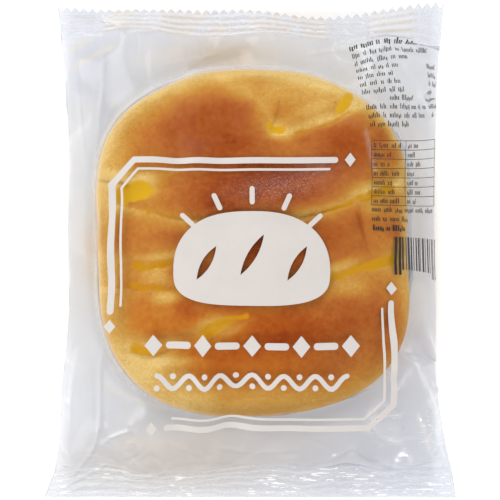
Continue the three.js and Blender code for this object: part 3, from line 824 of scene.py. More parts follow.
def film_fields(p, u, v):
    """How much the film clouds what is behind it, painted light included; where a painted sheen of fine specks sits on
    it;
    how much it mirrors head on; where its haze is warm and where cool, both painted light; where it has painted glints;
    and how much light it takes, painted shade included."""
    k = (CAM_Z - p[..., 2]) / CAM_D
    px, py = 250 + p[..., 0] / (UNIT * k), 250 - p[..., 1] / (UNIT * k)
    cx, cy = plan(*BUN_CENTRE)
    rx, ry = p[..., 0] - cx, p[..., 1] - cy
    off = np.hypot(rx, ry) - bun_radius(np.arctan2(ry, rx))       # mm outside the bun's outline
    loose = smooth((off + 1.5) / 6.0)                              # it clings where it lies on the bun
    n = lattice_noise(41)
    cloud = n(px / 38, py / 38) + 0.6 * n(px / 14, py / 14 + 5)
    # the left side, where the film doubles back, is milkier up to a line
    edge = np.interp(py, (0, 40, 80, 110, 150, 190, 250, 340, 370, 430, 448, 462, 478, 490), (106, 104, 102, 100, 97, 95, 92, 104, 100, 98, 94, 84, 70, 56))
    band = smooth((edge + 1.0 - px) / 3.5) * (0.72 + 0.28 * smooth((px - 60) / 30))
    seal = np.maximum(smooth((SEAL_BOTTOM + 1 - v) / 2), smooth((v - FLAT_L + SEAL_TOP + 1) / 2))
    # it is milkiest where it leaves the bun, most of all on the left and at the top: a ring of painted light, more
    # white haze that lifts the dark gap beside the bun
    th = np.arctan2(ry, rx)
    # painted shade under the film below the bun, where the ring is also kept weaker
    below = np.exp(-((th + 1.5) / 0.7) ** 2)                       # and it is in shade below the bun
    left = smooth((-np.cos(th) - 0.3) / 0.5)
    ring = smooth((off + lerp(2.4, 2.3, left)) / 2.4) * np.exp(-(np.maximum(off + lerp(0.6, 0.0, left), 0) / lerp(1.8, 1.0, left)) ** 2) * (u < FLAT_W)
    ring = ring * (0.29 - 0.15 * np.cos(th) + 0.09 * np.sin(th)) * (1 - 0.6 * below) * (1 + 0.25 * left + 0.3 * np.exp(-((th + 2.36) / 0.35) ** 2))
    lo, hi = v / SEAL_BOTTOM, (v - FLAT_L + SEAL_TOP) / SEAL_TOP                       # how far across each seal
    sway = 0.7 * n(px / 30, py / 12) + 0.5 * n(px / 9, py / 9 + 3)
    rows = np.where(v < FLAT_L / 2, np.cos(2 * math.pi * 5 * lo + 3 * sway), np.cos(2 * math.pi * 4.5 * hi + 1.5 * sway))
    facing = u < FLAT_W
    # the film's own haze where it lies loose, and the ring of painted light
    milk_and_painted_light = 0.003 + (0.13 + 0.02 * band) * loose * (1 + 0.2 * cloud) * np.where(facing, 1.0, 0.4) + ring
    # painted warm light in the pressed rows of the top seal, and under it
    span = smooth((px - 96) / 14) * (1 - smooth((px - 322) / 10)) + 0.8 * smooth((px - 366) / 6) * (1 - smooth((px - 408) / 10))
    warm = smooth((hi + 0.05) / 0.12) * span * smooth(0.5 + 1.3 * rows) * smooth(0.9 + 1.2 * n(px / 11 + 5, py / 15))
    # painted light along the crimp rows: whiter cool stripes between the warm ones; the seals are milkier for their
    # double film, and the stripes add to that
    cool = np.where(v > FLAT_L / 2, smooth(0.6 - 1.3 * rows) * (0.35 + 0.65 * span), 0.6 * smooth(0.2 + 1.2 * rows))
    cool = cool * seal * facing * (1 - warm)
    milk_and_painted_light = np.maximum(milk_and_painted_light, np.where(facing, 0.22 * seal + 0.40 * warm + 0.30 * cool, 0.10 * seal))
    # more painted warm light, as light off the bun tints the film: a patch under the top seal, one below the bun, one
    # at the bag's left, and a warm edge where the film leaves the bun on the left
    warm = warm + 0.9 * np.exp(-((px - 226) / 48) ** 2 - ((py - 54) / 14) ** 2) + 0.6 * np.exp(-((px - 170) / 110) ** 2 - ((py - 464) / 30) ** 2)
    warm = warm + 1.0 * np.exp(-((px - 90) / 8) ** 2 - ((py - 252) / 42) ** 2)
    warm = warm + 0.8 * left * np.exp(-(off / 1.3) ** 2)
    # painted glints on the crimps: white dashes, not reflections
    patches = smooth(0.25 + 1.8 * n(px / 26 + 8, py / 14))
    glint = smooth((0.97 - lo) / 0.1) * smooth(lo / 0.08) * (0.06 + 0.94 * patches) * (v < FLAT_L / 2) + 0.25 * patches ** 2 * smooth(hi / 0.1) * smooth((0.95 - hi) / 0.1)
    # painted glints in two patches at the lower right
    corner = np.exp(-((px - 388) / 16) ** 2 - ((py - 424) / 14) ** 2) + np.exp(-((px - 428) / 9) ** 2 - ((py - 432) / 24) ** 2)
    glint = np.maximum(glint, 0.5 * corner) * facing
    # how much light it takes; less towards the top right
    dim = np.where(facing, lerp(0.1, 0.5 - 0.10 * band - 0.07 * cloud, loose), 0.05) * (1 - 0.5 * np.exp(-((px - 375) / 80) ** 2 - ((py - 70) / 80) ** 2))
    # painted light in a band just left of the bun, lifting the shadowed gap there; painted shade on the film below the
    # bun
    dim = dim - 0.22 * left * facing * np.exp(-((off - 3.6) / 2.6) ** 2)
    dim = dim + 0.38 * below * facing * smooth((off + 1.5) / 2.0) * np.exp(-(np.maximum(off, 0) / 3.6) ** 2)
    front = (u < FLAT_W) * (1 - loose)
    # painted sheen: fine light specks on the film over the bun, standing in for the key light's speckled reflection
    # there
    sheen_speck = np.exp(-((px - 280) / 46) ** 2 - ((py - 186 + 0.12 * (px - 280)) / 13) ** 2)
    sheen_speck = sheen_speck + 0.7 * np.exp(-((px - 318) / 20) ** 2 - ((py - 167) / 9) ** 2) + 0.35 * np.exp(-((px - 195) / 16) ** 2 - ((py - 146) / 8) ** 2)
    gleam = lerp(0.003, 0.036, loose)
    for curve, height, _, shine in FILM_CREASES:
        c = spline(curve, 24)
        lo, hi = c.min(0) - 9, c.max(0) + 9
        m = (u < FLAT_W) & (px > lo[0]) & (px < hi[0]) & (py > lo[1]) & (py < hi[1])
        if m.any():
            d, side, along = near_curve(px[m], py[m], c)
            gleam[m] = gleam[m] + shine * np.exp(-(d * UNIT / 0.7) ** 2)
            # painted light on the flank that faces the key light, painted shade on the other
            run = (c[-1] - c[0]) / np.hypot(*(c[-1] - c[0]))
            lit = side * (0.57 * run[1] - 0.82 * run[0]) * min(1.0, abs(height) / 0.5) * (1 if height > 0 else -1)
            lit = lit * np.exp(-(d * UNIT / 0.9) ** 2) * smooth(along / 0.2) * smooth((1 - along) / 0.2) * smooth(d / 1.5)
            dim[m] = dim[m] - np.where(lit > 0, 0.45, 0.55) * lit
    # broad soft streaks of painted light and painted shade
    for curve, half, light, tint in FILM_STREAKS:
        c = spline(curve, 16)
        lo, hi = c.min(0) - 3 * half, c.max(0) + 3 * half
        m = facing & (px > lo[0]) & (px < hi[0]) & (py > lo[1]) & (py < hi[1])
        if m.any():
            d, _, along = near_curve(px[m], py[m], c)
            t = np.exp(-(d / half) ** 2) * smooth(along / 0.2) * smooth((1 - along) / 0.2)
            milk_and_painted_light[m] = milk_and_painted_light[m] + 0.2 * max(light, 0) * t
            dim[m] = dim[m] - light * t * (1.0 if light < 0 else 1.5)
            warm[m] = warm[m] + tint * t
    # the painted sheen also lifts the haze a little
    milk_and_painted_light = milk_and_painted_light + 0.03 * sheen_speck * front
    return np.clip(milk_and_painted_light, 0, 1), 0.18 * sheen_speck * front, gleam, np.clip(warm, 0, 1), np.clip(cool, 0, 1), np.clip(glint, 0, 1), np.clip(dim, 0, 1)


# ---------------------------------------------------------------- the print
# Ink lies on the film as thin closed layers. Its shapes are drawn flat, as the film was printed, and then
# follow the film wherever it went.
INK_STEP = 1.1             # the longest edge of an ink layer's net, flat millimetres
INK_LOW, INK_HIGH = 0.03, 0.05   # the ink's under and upper face, outside the film


def flat_guide(film):
    """A smooth guide from the layout to the flat film, for the front face."""
    u, v = np.meshgrid(np.linspace(14, 131, 60), np.linspace(16, 166, 80))
    p = film.at(u, v)
    k = (CAM_Z - p[..., 2]) / CAM_D
    px, py = 250 + p[..., 0] / (UNIT * k), 250 - p[..., 1] / (UNIT * k)

    def terms(x, y):
        x, y = (np.asarray(x, float) - 250) / 180, (np.asarray(y, float) - 250) / 200
        return np.stack([x ** i * y ** j for i in range(6) for j in range(6 - i)], -1)
    A = terms(px.ravel(), py.ravel())
    cu = np.linalg.lstsq(A, u.ravel(), rcond=None)[0]
    cv = np.linalg.lstsq(A, v.ravel(), rcond=None)[0]
    return lambda x, y: np.stack([terms(x, y) @ cu, terms(x, y) @ cv], -1)


def ribbon(points, half, cap=True):
    """Outline of a line of even width with mitred corners, round at its ends."""
    p = np.asarray(points, float)
    d = np.diff(p, axis=0)
    d /= np.linalg.norm(d, axis=1, keepdims=True)
    n = np.column_stack([-d[:, 1], d[:, 0]])
    m = np.vstack([n[:1], n[:-1] + n[1:], n[-1:]])
    m /= np.linalg.norm(m, axis=1, keepdims=True)
    scale = np.r_[1, 1 / (m[1:-1] * n[:-1]).sum(1), 1][:, None]
    left, right = p + m * half * scale, p - m * half * scale
    if not cap:
        return np.vstack([left, right[::-1]])
    f = np.linspace(0, math.pi, 7)[1:-1, None]
    end = p[-1] + half * (np.cos(f) * n[-1] + np.sin(f) * d[-1])
    beg = p[0] + half * (-np.cos(f) * n[0] - np.sin(f) * d[0])
    return np.vstack([left, end, right[::-1], beg])


def diamond(x, y, rx, ry):
    return np.array([(x - rx, y), (x, y - ry), (x + rx, y), (x, y + ry)], float)


def dense(poly, step):
    q = np.roll(poly, -1, 0)
    out = []
    for a, b in zip(poly, q):
        n = max(1, int(math.ceil(np.hypot(*(b - a)) / step)))
        out.append(a + (b - a) * (np.arange(n) / n)[:, None])
    return np.vstack(out)


def inside(points, poly):
    x, y = points[:, 0], points[:, 1]
    hit = np.zeros(len(points), bool)
    for (ax, ay), (bx, by) in zip(poly, np.roll(poly, -1, 0)):
        cross = ((ay > y) != (by > y)) & (x < (bx - ax) * (y - ay) / (by - ay + 1e-30) + ax)
        hit ^= cross
    return hit


def ink_net(outline, holes=()):
    """Triangles that fill a flat outline, fine enough to follow the film."""
    from mathutils import Vector
    from mathutils.geometry import delaunay_2d_cdt
    loops = [dense(np.asarray(q, float), INK_STEP) for q in (outline, *holes)]
    pts, edges = [], []
    for q in loops:
        n0 = sum(len(c) for c in pts)
        pts.append(q)
        edges += [(n0 + i, n0 + (i + 1) % len(q)) for i in range(len(q))]
    lo, hi = loops[0].min(0), loops[0].max(0)
    gx, gy = np.meshgrid(np.arange(lo[0], hi[0], INK_STEP) + 0.37 * INK_STEP, np.arange(lo[1], hi[1], INK_STEP) + 0.41 * INK_STEP)
    grid = np.column_stack([gx.ravel(), gy.ravel()])
    ring = np.vstack(loops)
    if len(grid):
        keep = inside(grid, loops[0])
        for q in loops[1:]:
            keep &= ~inside(grid, q)
        grid = grid[keep]
        if len(grid):
            near = np.sqrt(((grid[:, None] - ring[None]) ** 2).sum(-1)).min(1)
            grid = grid[near > 0.45 * INK_STEP]
    every = np.vstack(pts + ([grid] if len(grid) else []))
    vs, _, fs, *_ = delaunay_2d_cdt([Vector(c) for c in every], edges, [], 0, 1e-6)
    vs, fs = np.array(vs), np.array([f for f in fs if len(f) == 3])
    mid = vs[fs].mean(1)
    keep = inside(mid, loops[0])
    for q in loops[1:]:
        keep &= ~inside(mid, q)
    fs = fs[keep]
    a, b, c = vs[fs[:, 0]], vs[fs[:, 1]], vs[fs[:, 2]]
    area = (b[:, 0] - a[:, 0]) * (c[:, 1] - a[:, 1]) - (b[:, 1] - a[:, 1]) * (c[:, 0] - a[:, 0])
    fs = fs[np.abs(area) > 1e-6]
    area = area[np.abs(area) > 1e-6]
    fs = np.where((area < 0)[:, None], fs[:, ::-1], fs)
    used = np.unique(fs)
    back = np.full(len(vs), -1)
    back[used] = np.arange(len(used))
    return vs[used], back[fs]


def ink_piece(name, film, shapes):
    """One printed piece from flat shapes, each an outline and its holes."""
    nets = [ink_net(outline, holes) for outline, holes in shapes]
    q = np.vstack([n[0] for n in nets])
    u, v = q[:, 0] % (2 * FLAT_W), q[:, 1]
    e = 0.15
    at = film.place(u, v)
    nrm = np.cross(film.place((u + e) % (2 * FLAT_W), v) - film.place((u - e) % (2 * FLAT_W), v), film.place(u, v + e) - film.place(u, v - e))
    nrm /= np.linalg.norm(nrm, axis=-1, keepdims=True) + 1e-12
    half = len(q)
    tris, count = [], 0
    for pts, f in nets:
        edge = np.vstack([f[:, [0, 1]], f[:, [1, 2]], f[:, [2, 0]]])
        back = {(int(b), int(a)) for a, b in edge}
        rim = np.array([(a, b) for a, b in edge.tolist() if (a, b) not in back])
        wall = np.vstack([np.column_stack([rim[:, 1], rim[:, 0], rim[:, 0] + half]), np.column_stack([rim[:, 1], rim[:, 0] + half, rim[:, 1] + half])])
        tris += [f + count, f[:, ::-1] + half + count, wall + count]
        count += len(pts)
    verts = np.vstack([at + nrm * INK_HIGH, at + nrm * INK_LOW])
    verts[:, 2] = np.maximum(verts[:, 2], 0.005)
    ob = mesh_object(name, verts, tris)
    ob.data.set_sharp_from_angle(angle=math.radians(40))
    return ob


def white_shapes(guide):
    """Two corner brackets, a loaf with slashes and short rays, and two rows of plain shapes."""
    out = []

    def add(poly, holes=()):
        def flat(q):
            q = dense(np.asarray(q, float), 3.0)
            return guide(q[:, 0], q[:, 1])
        out.append((flat(poly), tuple(flat(h) for h in holes)))
    # brackets, a broad line with a fine one inside it
    add(ribbon([(110, 312), (110, 184), (134, 160), (336, 160)], 3.0))
    add(ribbon([(119, 306), (119, 188), (138, 169), (330, 169)], 1.2))
    add(ribbon([(393, 304), (393, 404), (369, 428), (166, 428)], 3.0))
    add(ribbon([(384, 310), (384, 400), (365, 419), (172, 419)], 1.2))
    for x, y in ((110, 327), (351, 160), (393, 289), (151, 428)):
        add(diamond(x, y, 5.5, 7.0))
    # the loaf
    t = np.linspace(0, 2 * math.pi, 72, endpoint=False)
    c, d = np.cos(t), np.sin(t)
    up = d > 0
    loaf = np.column_stack([252 + 80 * np.sign(c) * np.abs(c) ** np.where(up, 0.78, 0.62),
                            272 - np.where(up, 62 * np.abs(d) ** 0.92, -34 * np.abs(d) ** 0.66)])
    slashes = []
    for x, y, long in ((206, 263, 20), (252, 254, 24), (298, 263, 20)):
        a = np.linspace(-1, 1, 13)
        lens = 4.6 * (1 - a * a)
        ux, uy = 0.5, -0.866
        side = np.array([-uy, ux])
        mid = np.column_stack([x + a * long * ux, y + a * long * uy])
        slashes.append(np.vstack([mid + lens[:, None] * side, (mid - lens[:, None] * side)[-2:0:-1]]))
    add(loaf, slashes)
    for deg in (-46, -23, 0, 23, 46):
        f = math.radians(deg)
        add(ribbon([(252 + r * math.sin(f), 278 - 0.93 * r * math.cos(f)) for r in (83, 97)], 2.6))
    # rows below it
    for i in range(9):
        x = 152 + 25 * i
        if i % 2 == 0:
            add(diamond(x, 347, 9.0, 11.0))
        else:
            add(ribbon([(x - 9, 347), (x + 9, 347)], 3.6))
    x = np.linspace(156, 348, 65)
    add(ribbon(np.column_stack([x, 383 - 6.5 * np.cos((x - 156) * math.pi / 16)]), 2.4))
    for i in range(12):
        t = np.linspace(0, 2 * math.pi, 16, endpoint=False)
        add(np.column_stack([164 + 16 * i - 8 + 3.0 * np.cos(t), (383 + (5.5 if i % 2 == 0 else -5.5)) + 3.0 * np.sin(t)]))
    return out


def dark_shapes(guide):
    """Small dark marks: rows of plain ticks, a ruled table, a block of bars. They run on to the bag's right side."""
    rng = np.random.default_rng(61)
    u0, v0 = guide(372.0, 141.0)
    out = []

    def box(s0, s1, t0, t1, lean=0.0):
        """Flat millimetres right of and below the table's corner."""
        q = np.array([(s0 - lean * t1, -t1), (s1 - lean * t1, -t1), (s1 - lean * t0, -t0), (s0 - lean * t0, -t0)])
        out.append((q + (u0, v0), ()))

    def ticks(s, end, t, tall=1.9, thick=0.31):
        """A run of ticks in uneven groups, standing on the line t."""
        while s < end - 1.5:
            for _ in range(int(rng.integers(2, 9))):
                if s > end - 0.5:
                    break
                h = tall * rng.choice((0.62, 0.62, 0.68, 0.95))
                w = thick * rng.uniform(0.8, 1.25)
                drop = 0.0 if rng.random() < 0.88 else 0.35
                box(s, s + w, t - h + drop, t + drop)
                s += w + rng.uniform(0.22, 0.34)
            s += rng.uniform(0.8, 1.3)
    for i in range(11):
        t = -35.4 + 3.05 * i
        first = -3.6 + 0.32 * i + (9.0 if i == 7 else 0.0)
        ticks(first, (24, 26, 17, 13, 12, 13, 14, 19, 25, 24, 15)[i], t, 2.0 if i else 2.6, 0.31 if i else 0.46)
        if 2 < i < 10:
            ticks(23.0 + 0.4 * i, 30.0, t)
    for i in range(8):
        box(0.0, 30.2, 3.2 * i - 0.10, 3.2 * i + 0.10)
        if i < 7:
            ticks(0.8, rng.uniform(7, 12.5), 3.2 * i + 2.5)
            ticks(14.6, rng.uniform(19, 22), 3.2 * i + 2.5)
    for s in (0.0, 13.6, 30.1):
        box(s - 0.10, s + 0.10, 0.0, 22.4)
    ticks(0.0, 29.8, 24.7)
    ticks(0.0, 15.0, 27.9)
    ticks(0.2, 14.0, 31.2, 2.1, 0.62)
    s = 8.0
    k = 0
    while s < 29.4:
        w = rng.choice((0.33, 0.33, 0.66, 0.99))
        long = 1.8 if k in (0, 1, 14, 15) or s > 28.6 else 0.0
        box(s, s + w, 33.2, 44.6 + long, -0.03)
        s += w + rng.choice((0.33, 0.33, 0.66, 0.99))
        k += 1
    return out


# ---------------------------------------------------------------- materials
def srgb(r, g, b):
    def f(c):
        c /= 255.0
        return c / 12.92 if c <= 0.04045 else ((c + 0.055) / 1.055) ** 2.4
    return (f(r), f(g), f(b), 1.0)


class Nodes:
    def __init__(self, name):
        self.mat = bpy.data.materials.new(name)
        self.mat.use_nodes = True
        self.nt = self.mat.node_tree
        self.nt.nodes.clear()
        self.out = self.nt.nodes.new("ShaderNodeOutputMaterial")

    def new(self, kind, **props):
        nd = self.nt.nodes.new(kind)
        for k, v in props.items():
            setattr(nd, k, v)
        return nd

    def link(self, a, b):
        self.nt.links.new(a, b)

    def math(self, op, a, b=None, clamp=False, c=0.0):
        nd = self.new("ShaderNodeMath", operation=op, use_clamp=clamp)
        nd.inputs[2].default_value = c
        for i, v in enumerate((a, b)):
            if v is None:
                continue
            if hasattr(v, "links"):
                self.link(v, nd.inputs[i])
            else:
                nd.inputs[i].default_value = v
        return nd.outputs[0]

    def noise(self, vec, scale, detail=3.0, rough=0.55):
        nd = self.new("ShaderNodeTexNoise")
        nd.inputs["Scale"].default_value = scale
        nd.inputs["Detail"].default_value = detail
        nd.inputs["Roughness"].default_value = rough
        self.link(vec, nd.inputs["Vector"])
        return nd.outputs["Fac"]

    def mix(self, fac, a, b):
        nd = self.new("ShaderNodeMix", data_type="RGBA")
        for sock, v in ((nd.inputs[0], fac), (nd.inputs[6], a), (nd.inputs[7], b)):
            if hasattr(v, "links"):
                self.link(v, sock)
            else:
                sock.default_value = v
        return nd.outputs[2]


def crust_material():
    m = Nodes("crust")
    tc = m.new("ShaderNodeTexCoord")
    co = tc.outputs["Object"]
    bake = m.new("ShaderNodeAttribute", attribute_name="bake").outputs["Fac"]
    butter = m.new("ShaderNodeAttribute", attribute_name="butter").outputs["Fac"]
    crease_shade = m.new("ShaderNodeAttribute", attribute_name="crease_shade").outputs["Fac"]
    tone = m.new("ShaderNodeAttribute", attribute_name="tone").outputs["Fac"]
    # mottling at three scales, from clouds of browning down to specks
    n1 = m.noise(co, 110.0, 3.0)
    n2 = m.noise(co, 480.0, 3.0)
    n3 = m.noise(co, 1150.0, 3.0, 0.7)
    v = m.math("ADD", bake, m.math("MULTIPLY", m.math("SUBTRACT", n1, 0.5), 0.14))      # browner places are more mottled
    v = m.math("ADD", v, m.math("MULTIPLY", m.math("SUBTRACT", n2, 0.5), m.math("MULTIPLY_ADD", bake, 0.34, c=0.10)))
    v = m.math("ADD", v, m.math("MULTIPLY", m.math("SUBTRACT", n3, 0.5), 0.36), clamp=True)
    ramp = m.new("ShaderNodeValToRGB")
    m.link(v, ramp.inputs["Fac"])
    stops = [(0.0, srgb(242, 206, 128)), (0.08, srgb(231, 187, 103)), (0.18, srgb(220, 169, 83)), (0.28, srgb(212, 156, 70)), (0.40, srgb(204, 138, 54)),
             (0.52, srgb(197, 121, 47)), (0.64, srgb(187, 107, 43)), (0.76, srgb(178, 93, 32)), (0.88, srgb(168, 79, 20)), (1.0, srgb(150, 64, 14))]
    e = ramp.color_ramp.elements
    while len(e) < len(stops):
        e.new(0.5)
    for el, (pos, col) in zip(e, stops):
        el.position, el.color = pos, col
    b = m.math("ADD", butter, m.math("MULTIPLY", m.math("SUBTRACT", n2, 0.5), 0.20))
    bf = m.new("ShaderNodeMapRange", interpolation_type="SMOOTHSTEP")
    m.link(b, bf.inputs["Value"])
    bf.inputs["From Min"].default_value = 0.10
    bf.inputs["From Max"].default_value = 0.95
    # the bright end is the dough's own yellow; the mustard end adds painted shade for the inside of a fold
    yellow = m.mix(tone, srgb(206, 140, 2), srgb(228, 175, 26))
    col = m.mix(bf.outputs[0], ramp.outputs["Color"], yellow)
    # painted shade: a darker brown along the crease lines, standing in for the shade in their cracks
    col = m.mix(m.math("MULTIPLY", crease_shade, 0.50), col, srgb(150, 74, 16))
    # a few tiny dark specks
    sp = m.new("ShaderNodeMapRange", interpolation_type="SMOOTHSTEP")
    m.link(m.noise(co, 950.0, 0.0), sp.inputs["Value"])
    sp.inputs["From Min"].default_value = 0.80
    sp.inputs["From Max"].default_value = 0.86
    col = m.mix(m.math("MULTIPLY", sp.outputs[0], 0.40), col, srgb(132, 62, 16))
    # the brown at the near left of the bun is deeper in colour
    axes = m.new("ShaderNodeSeparateXYZ")
    m.link(co, axes.inputs[0])
    near = m.math("MULTIPLY", m.math("SUBTRACT", -0.010, axes.outputs[1]), 60.0, clamp=True)
    aside = m.math("MULTIPLY", m.math("SUBTRACT", 0.030, axes.outputs[0]), 50.0, clamp=True)
    deep = m.new("ShaderNodeMix", data_type="RGBA", blend_type="MULTIPLY")
    brown = m.math("MULTIPLY", m.math("SUBTRACT", bake, 0.36), 4.5, clamp=True)
    m.link(m.math("MULTIPLY", m.math("MULTIPLY", near, aside), brown), deep.inputs[0])
    m.link(col, deep.inputs[6])
    deep.inputs[7].default_value = (1.08, 0.97, 0.45, 1)
    bsdf = m.new("ShaderNodeBsdfPrincipled")
    m.link(deep.outputs[2], bsdf.inputs["Base Color"])
    rough = m.new("ShaderNodeMapRange")
    m.link(n2, rough.inputs["Value"])
    rough.inputs["To Min"].default_value = 0.42
    rough.inputs["To Max"].default_value = 0.66
    m.link(rough.outputs[0], bsdf.inputs["Roughness"])
    bsdf.inputs["Specular IOR Level"].default_value = 0.06
    bsdf.inputs["Subsurface Weight"].default_value = 0.10
    bsdf.inputs["Subsurface Radius"].default_value = (1.0, 0.45, 0.15)
    bsdf.inputs["Subsurface Scale"].default_value = 0.003
    bump = m.new("ShaderNodeBump")
    bump.inputs["Strength"].default_value = 0.35
    bump.inputs["Distance"].default_value = 0.0006
    h = m.math("ADD", m.math("MULTIPLY", n2, 0.7), m.math("MULTIPLY", n3, 0.3))
    m.link(h, bump.inputs["Height"])
    m.link(bump.outputs[0], bsdf.inputs["Normal"])
    m.link(bsdf.outputs[0], m.out.inputs["Surface"])
    return m.mat


def film_material():
    m = Nodes("film")
    tc = m.new("ShaderNodeTexCoord")
    co = tc.outputs["Object"]
    fine = m.noise(co, 520.0, 2.0)
    wide = m.noise(co, 45.0, 2.0)
    speck = m.noise(co, 2000.0, 1.0)
    milk_and_painted_light = m.new("ShaderNodeAttribute", attribute_name="milk_and_painted_light").outputs["Fac"]
    sheen_speck = m.new("ShaderNodeAttribute", attribute_name="sheen_speck").outputs["Fac"]
    gleam = m.new("ShaderNodeAttribute", attribute_name="gleam").outputs["Fac"]
    bump = m.new("ShaderNodeBump")
    bump.inputs["Strength"].default_value = 0.07
    bump.inputs["Distance"].default_value = 0.0003
    m.link(fine, bump.inputs["Height"])
    clear = m.new("ShaderNodeBsdfTransparent")
    dim = m.new("ShaderNodeAttribute", attribute_name="dim").outputs["Fac"]
    warm = m.new("ShaderNodeAttribute", attribute_name="warm").outputs["Fac"]
    # dim darkens the clear part: the film's grey where it lies loose, painted shade, and less of it where painted light
    # lies
    grey = m.mix(dim, (0.945, 0.955, 0.97, 1), (0.632, 0.655, 0.718, 1))
    cream = m.mix(dim, (0.94, 0.895, 0.84, 1), (0.64, 0.605, 0.575, 1))
    m.link(m.mix(warm, grey, cream), clear.inputs["Color"])
    haze = m.new("ShaderNodeBsdfDiffuse")
    cool = m.new("ShaderNodeAttribute", attribute_name="cool").outputs["Fac"]
    # painted warm light tints the haze
    tint = m.mix(warm, (0.732, 0.75, 0.806, 1), (0.69, 0.62, 0.53, 1))
    # the painted cool stripes whiten the haze
    m.link(m.mix(cool, tint, (0.85, 0.86, 0.92, 1)), haze.inputs["Color"])
    gloss = m.new("ShaderNodeBsdfAnisotropic")
    gloss.inputs["Color"].default_value = (1, 1, 1, 1)
    gloss.inputs["Roughness"].default_value = 0.13
    m.link(bump.outputs[0], gloss.inputs["Normal"])
    body = m.new("ShaderNodeMixShader")
    hz = m.math("MULTIPLY", milk_and_painted_light, m.math("ADD", m.math("MULTIPLY", wide, 0.7), m.math("ADD", m.math("MULTIPLY", fine, 0.25), 0.5)))
    # the fine specks of the painted sheen
    sheen_dots = m.new("ShaderNodeMapRange", interpolation_type="SMOOTHSTEP")
    m.link(speck, sheen_dots.inputs["Value"])
    sheen_dots.inputs["From Min"].default_value = 0.50
    sheen_dots.inputs["From Max"].default_value = 0.68
    hz = m.math("ADD", hz, m.math("MULTIPLY", sheen_speck, sheen_dots.outputs[0]), clamp=True)
    m.link(hz, body.inputs["Fac"])
    m.link(clear.outputs[0], body.inputs[1])
    m.link(haze.outputs[0], body.inputs[2])
    lw = m.new("ShaderNodeLayerWeight")
    lw.inputs["Blend"].default_value = 0.5
    m.link(bump.outputs[0], lw.inputs["Normal"])
    fac = m.math("ADD", m.math("MULTIPLY", m.math("POWER", lw.outputs["Facing"], 4.0), 0.75), gleam, clamp=True)
    top = m.new("ShaderNodeMixShader")
    m.link(fac, top.inputs["Fac"])
    m.link(body.outputs[0], top.inputs[1])
    m.link(gloss.outputs[0], top.inputs[2])
    # painted glints: short white dashes across the bag, where the glint attribute allows
    glint = m.new("ShaderNodeAttribute", attribute_name="glint").outputs["Fac"]
    stretch = m.new("ShaderNodeVectorMath", operation="MULTIPLY")
    m.link(co, stretch.inputs[0])
    stretch.inputs[1].default_value = (210.0, 1350.0, 700.0)
    dash = m.new("ShaderNodeMapRange", interpolation_type="SMOOTHSTEP")
    m.link(m.noise(stretch.outputs[0], 1.0, 1.0), dash.inputs["Value"])
    dash.inputs["From Min"].default_value = 0.61
    dash.inputs["From Max"].default_value = 0.67
    white = m.new("ShaderNodeBsdfDiffuse")
    white.inputs["Color"].default_value = (0.98, 0.98, 0.98, 1)
    last = m.new("ShaderNodeMixShader")
    m.link(m.math("MULTIPLY", glint, dash.outputs[0]), last.inputs["Fac"])
    m.link(top.outputs[0], last.inputs[1])
    m.link(white.outputs[0], last.inputs[2])
    m.link(last.outputs[0], m.out.inputs["Surface"])
    return m.mat


def ink_material(name, colour, worn, rough):
    """Printed ink: nearly even, a little thin in places, with the film's gloss."""
    m = Nodes(name)
    tc = m.new("ShaderNodeTexCoord")
    co = tc.outputs["Object"]
    cloud = m.noise(co, 160.0, 3.0)
    grain = m.noise(co, 1300.0, 2.0)
    f = m.math("ADD", m.math("MULTIPLY", cloud, 0.6), m.math("MULTIPLY", grain, 0.4))
    bsdf = m.new("ShaderNodeBsdfPrincipled")
    m.link(m.mix(f, colour, worn), bsdf.inputs["Base Color"])
    mr = m.new("ShaderNodeMapRange")
    m.link(grain, mr.inputs["Value"])
    mr.inputs["To Min"].default_value = rough - 0.06
    mr.inputs["To Max"].default_value = rough + 0.10
    m.link(mr.outputs[0], bsdf.inputs["Roughness"])
    bsdf.inputs["Specular IOR Level"].default_value = 0.4
    m.link(bsdf.outputs[0], m.out.inputs["Surface"])
    return m.mat


# ---------------------------------------------------------------- floor, light, camera
TENT_TOP, TENT_SIDE, TENT_FAR = 0.80, 1.05, 0.04      # brightness of the ceiling and the sides, and the far side's gain


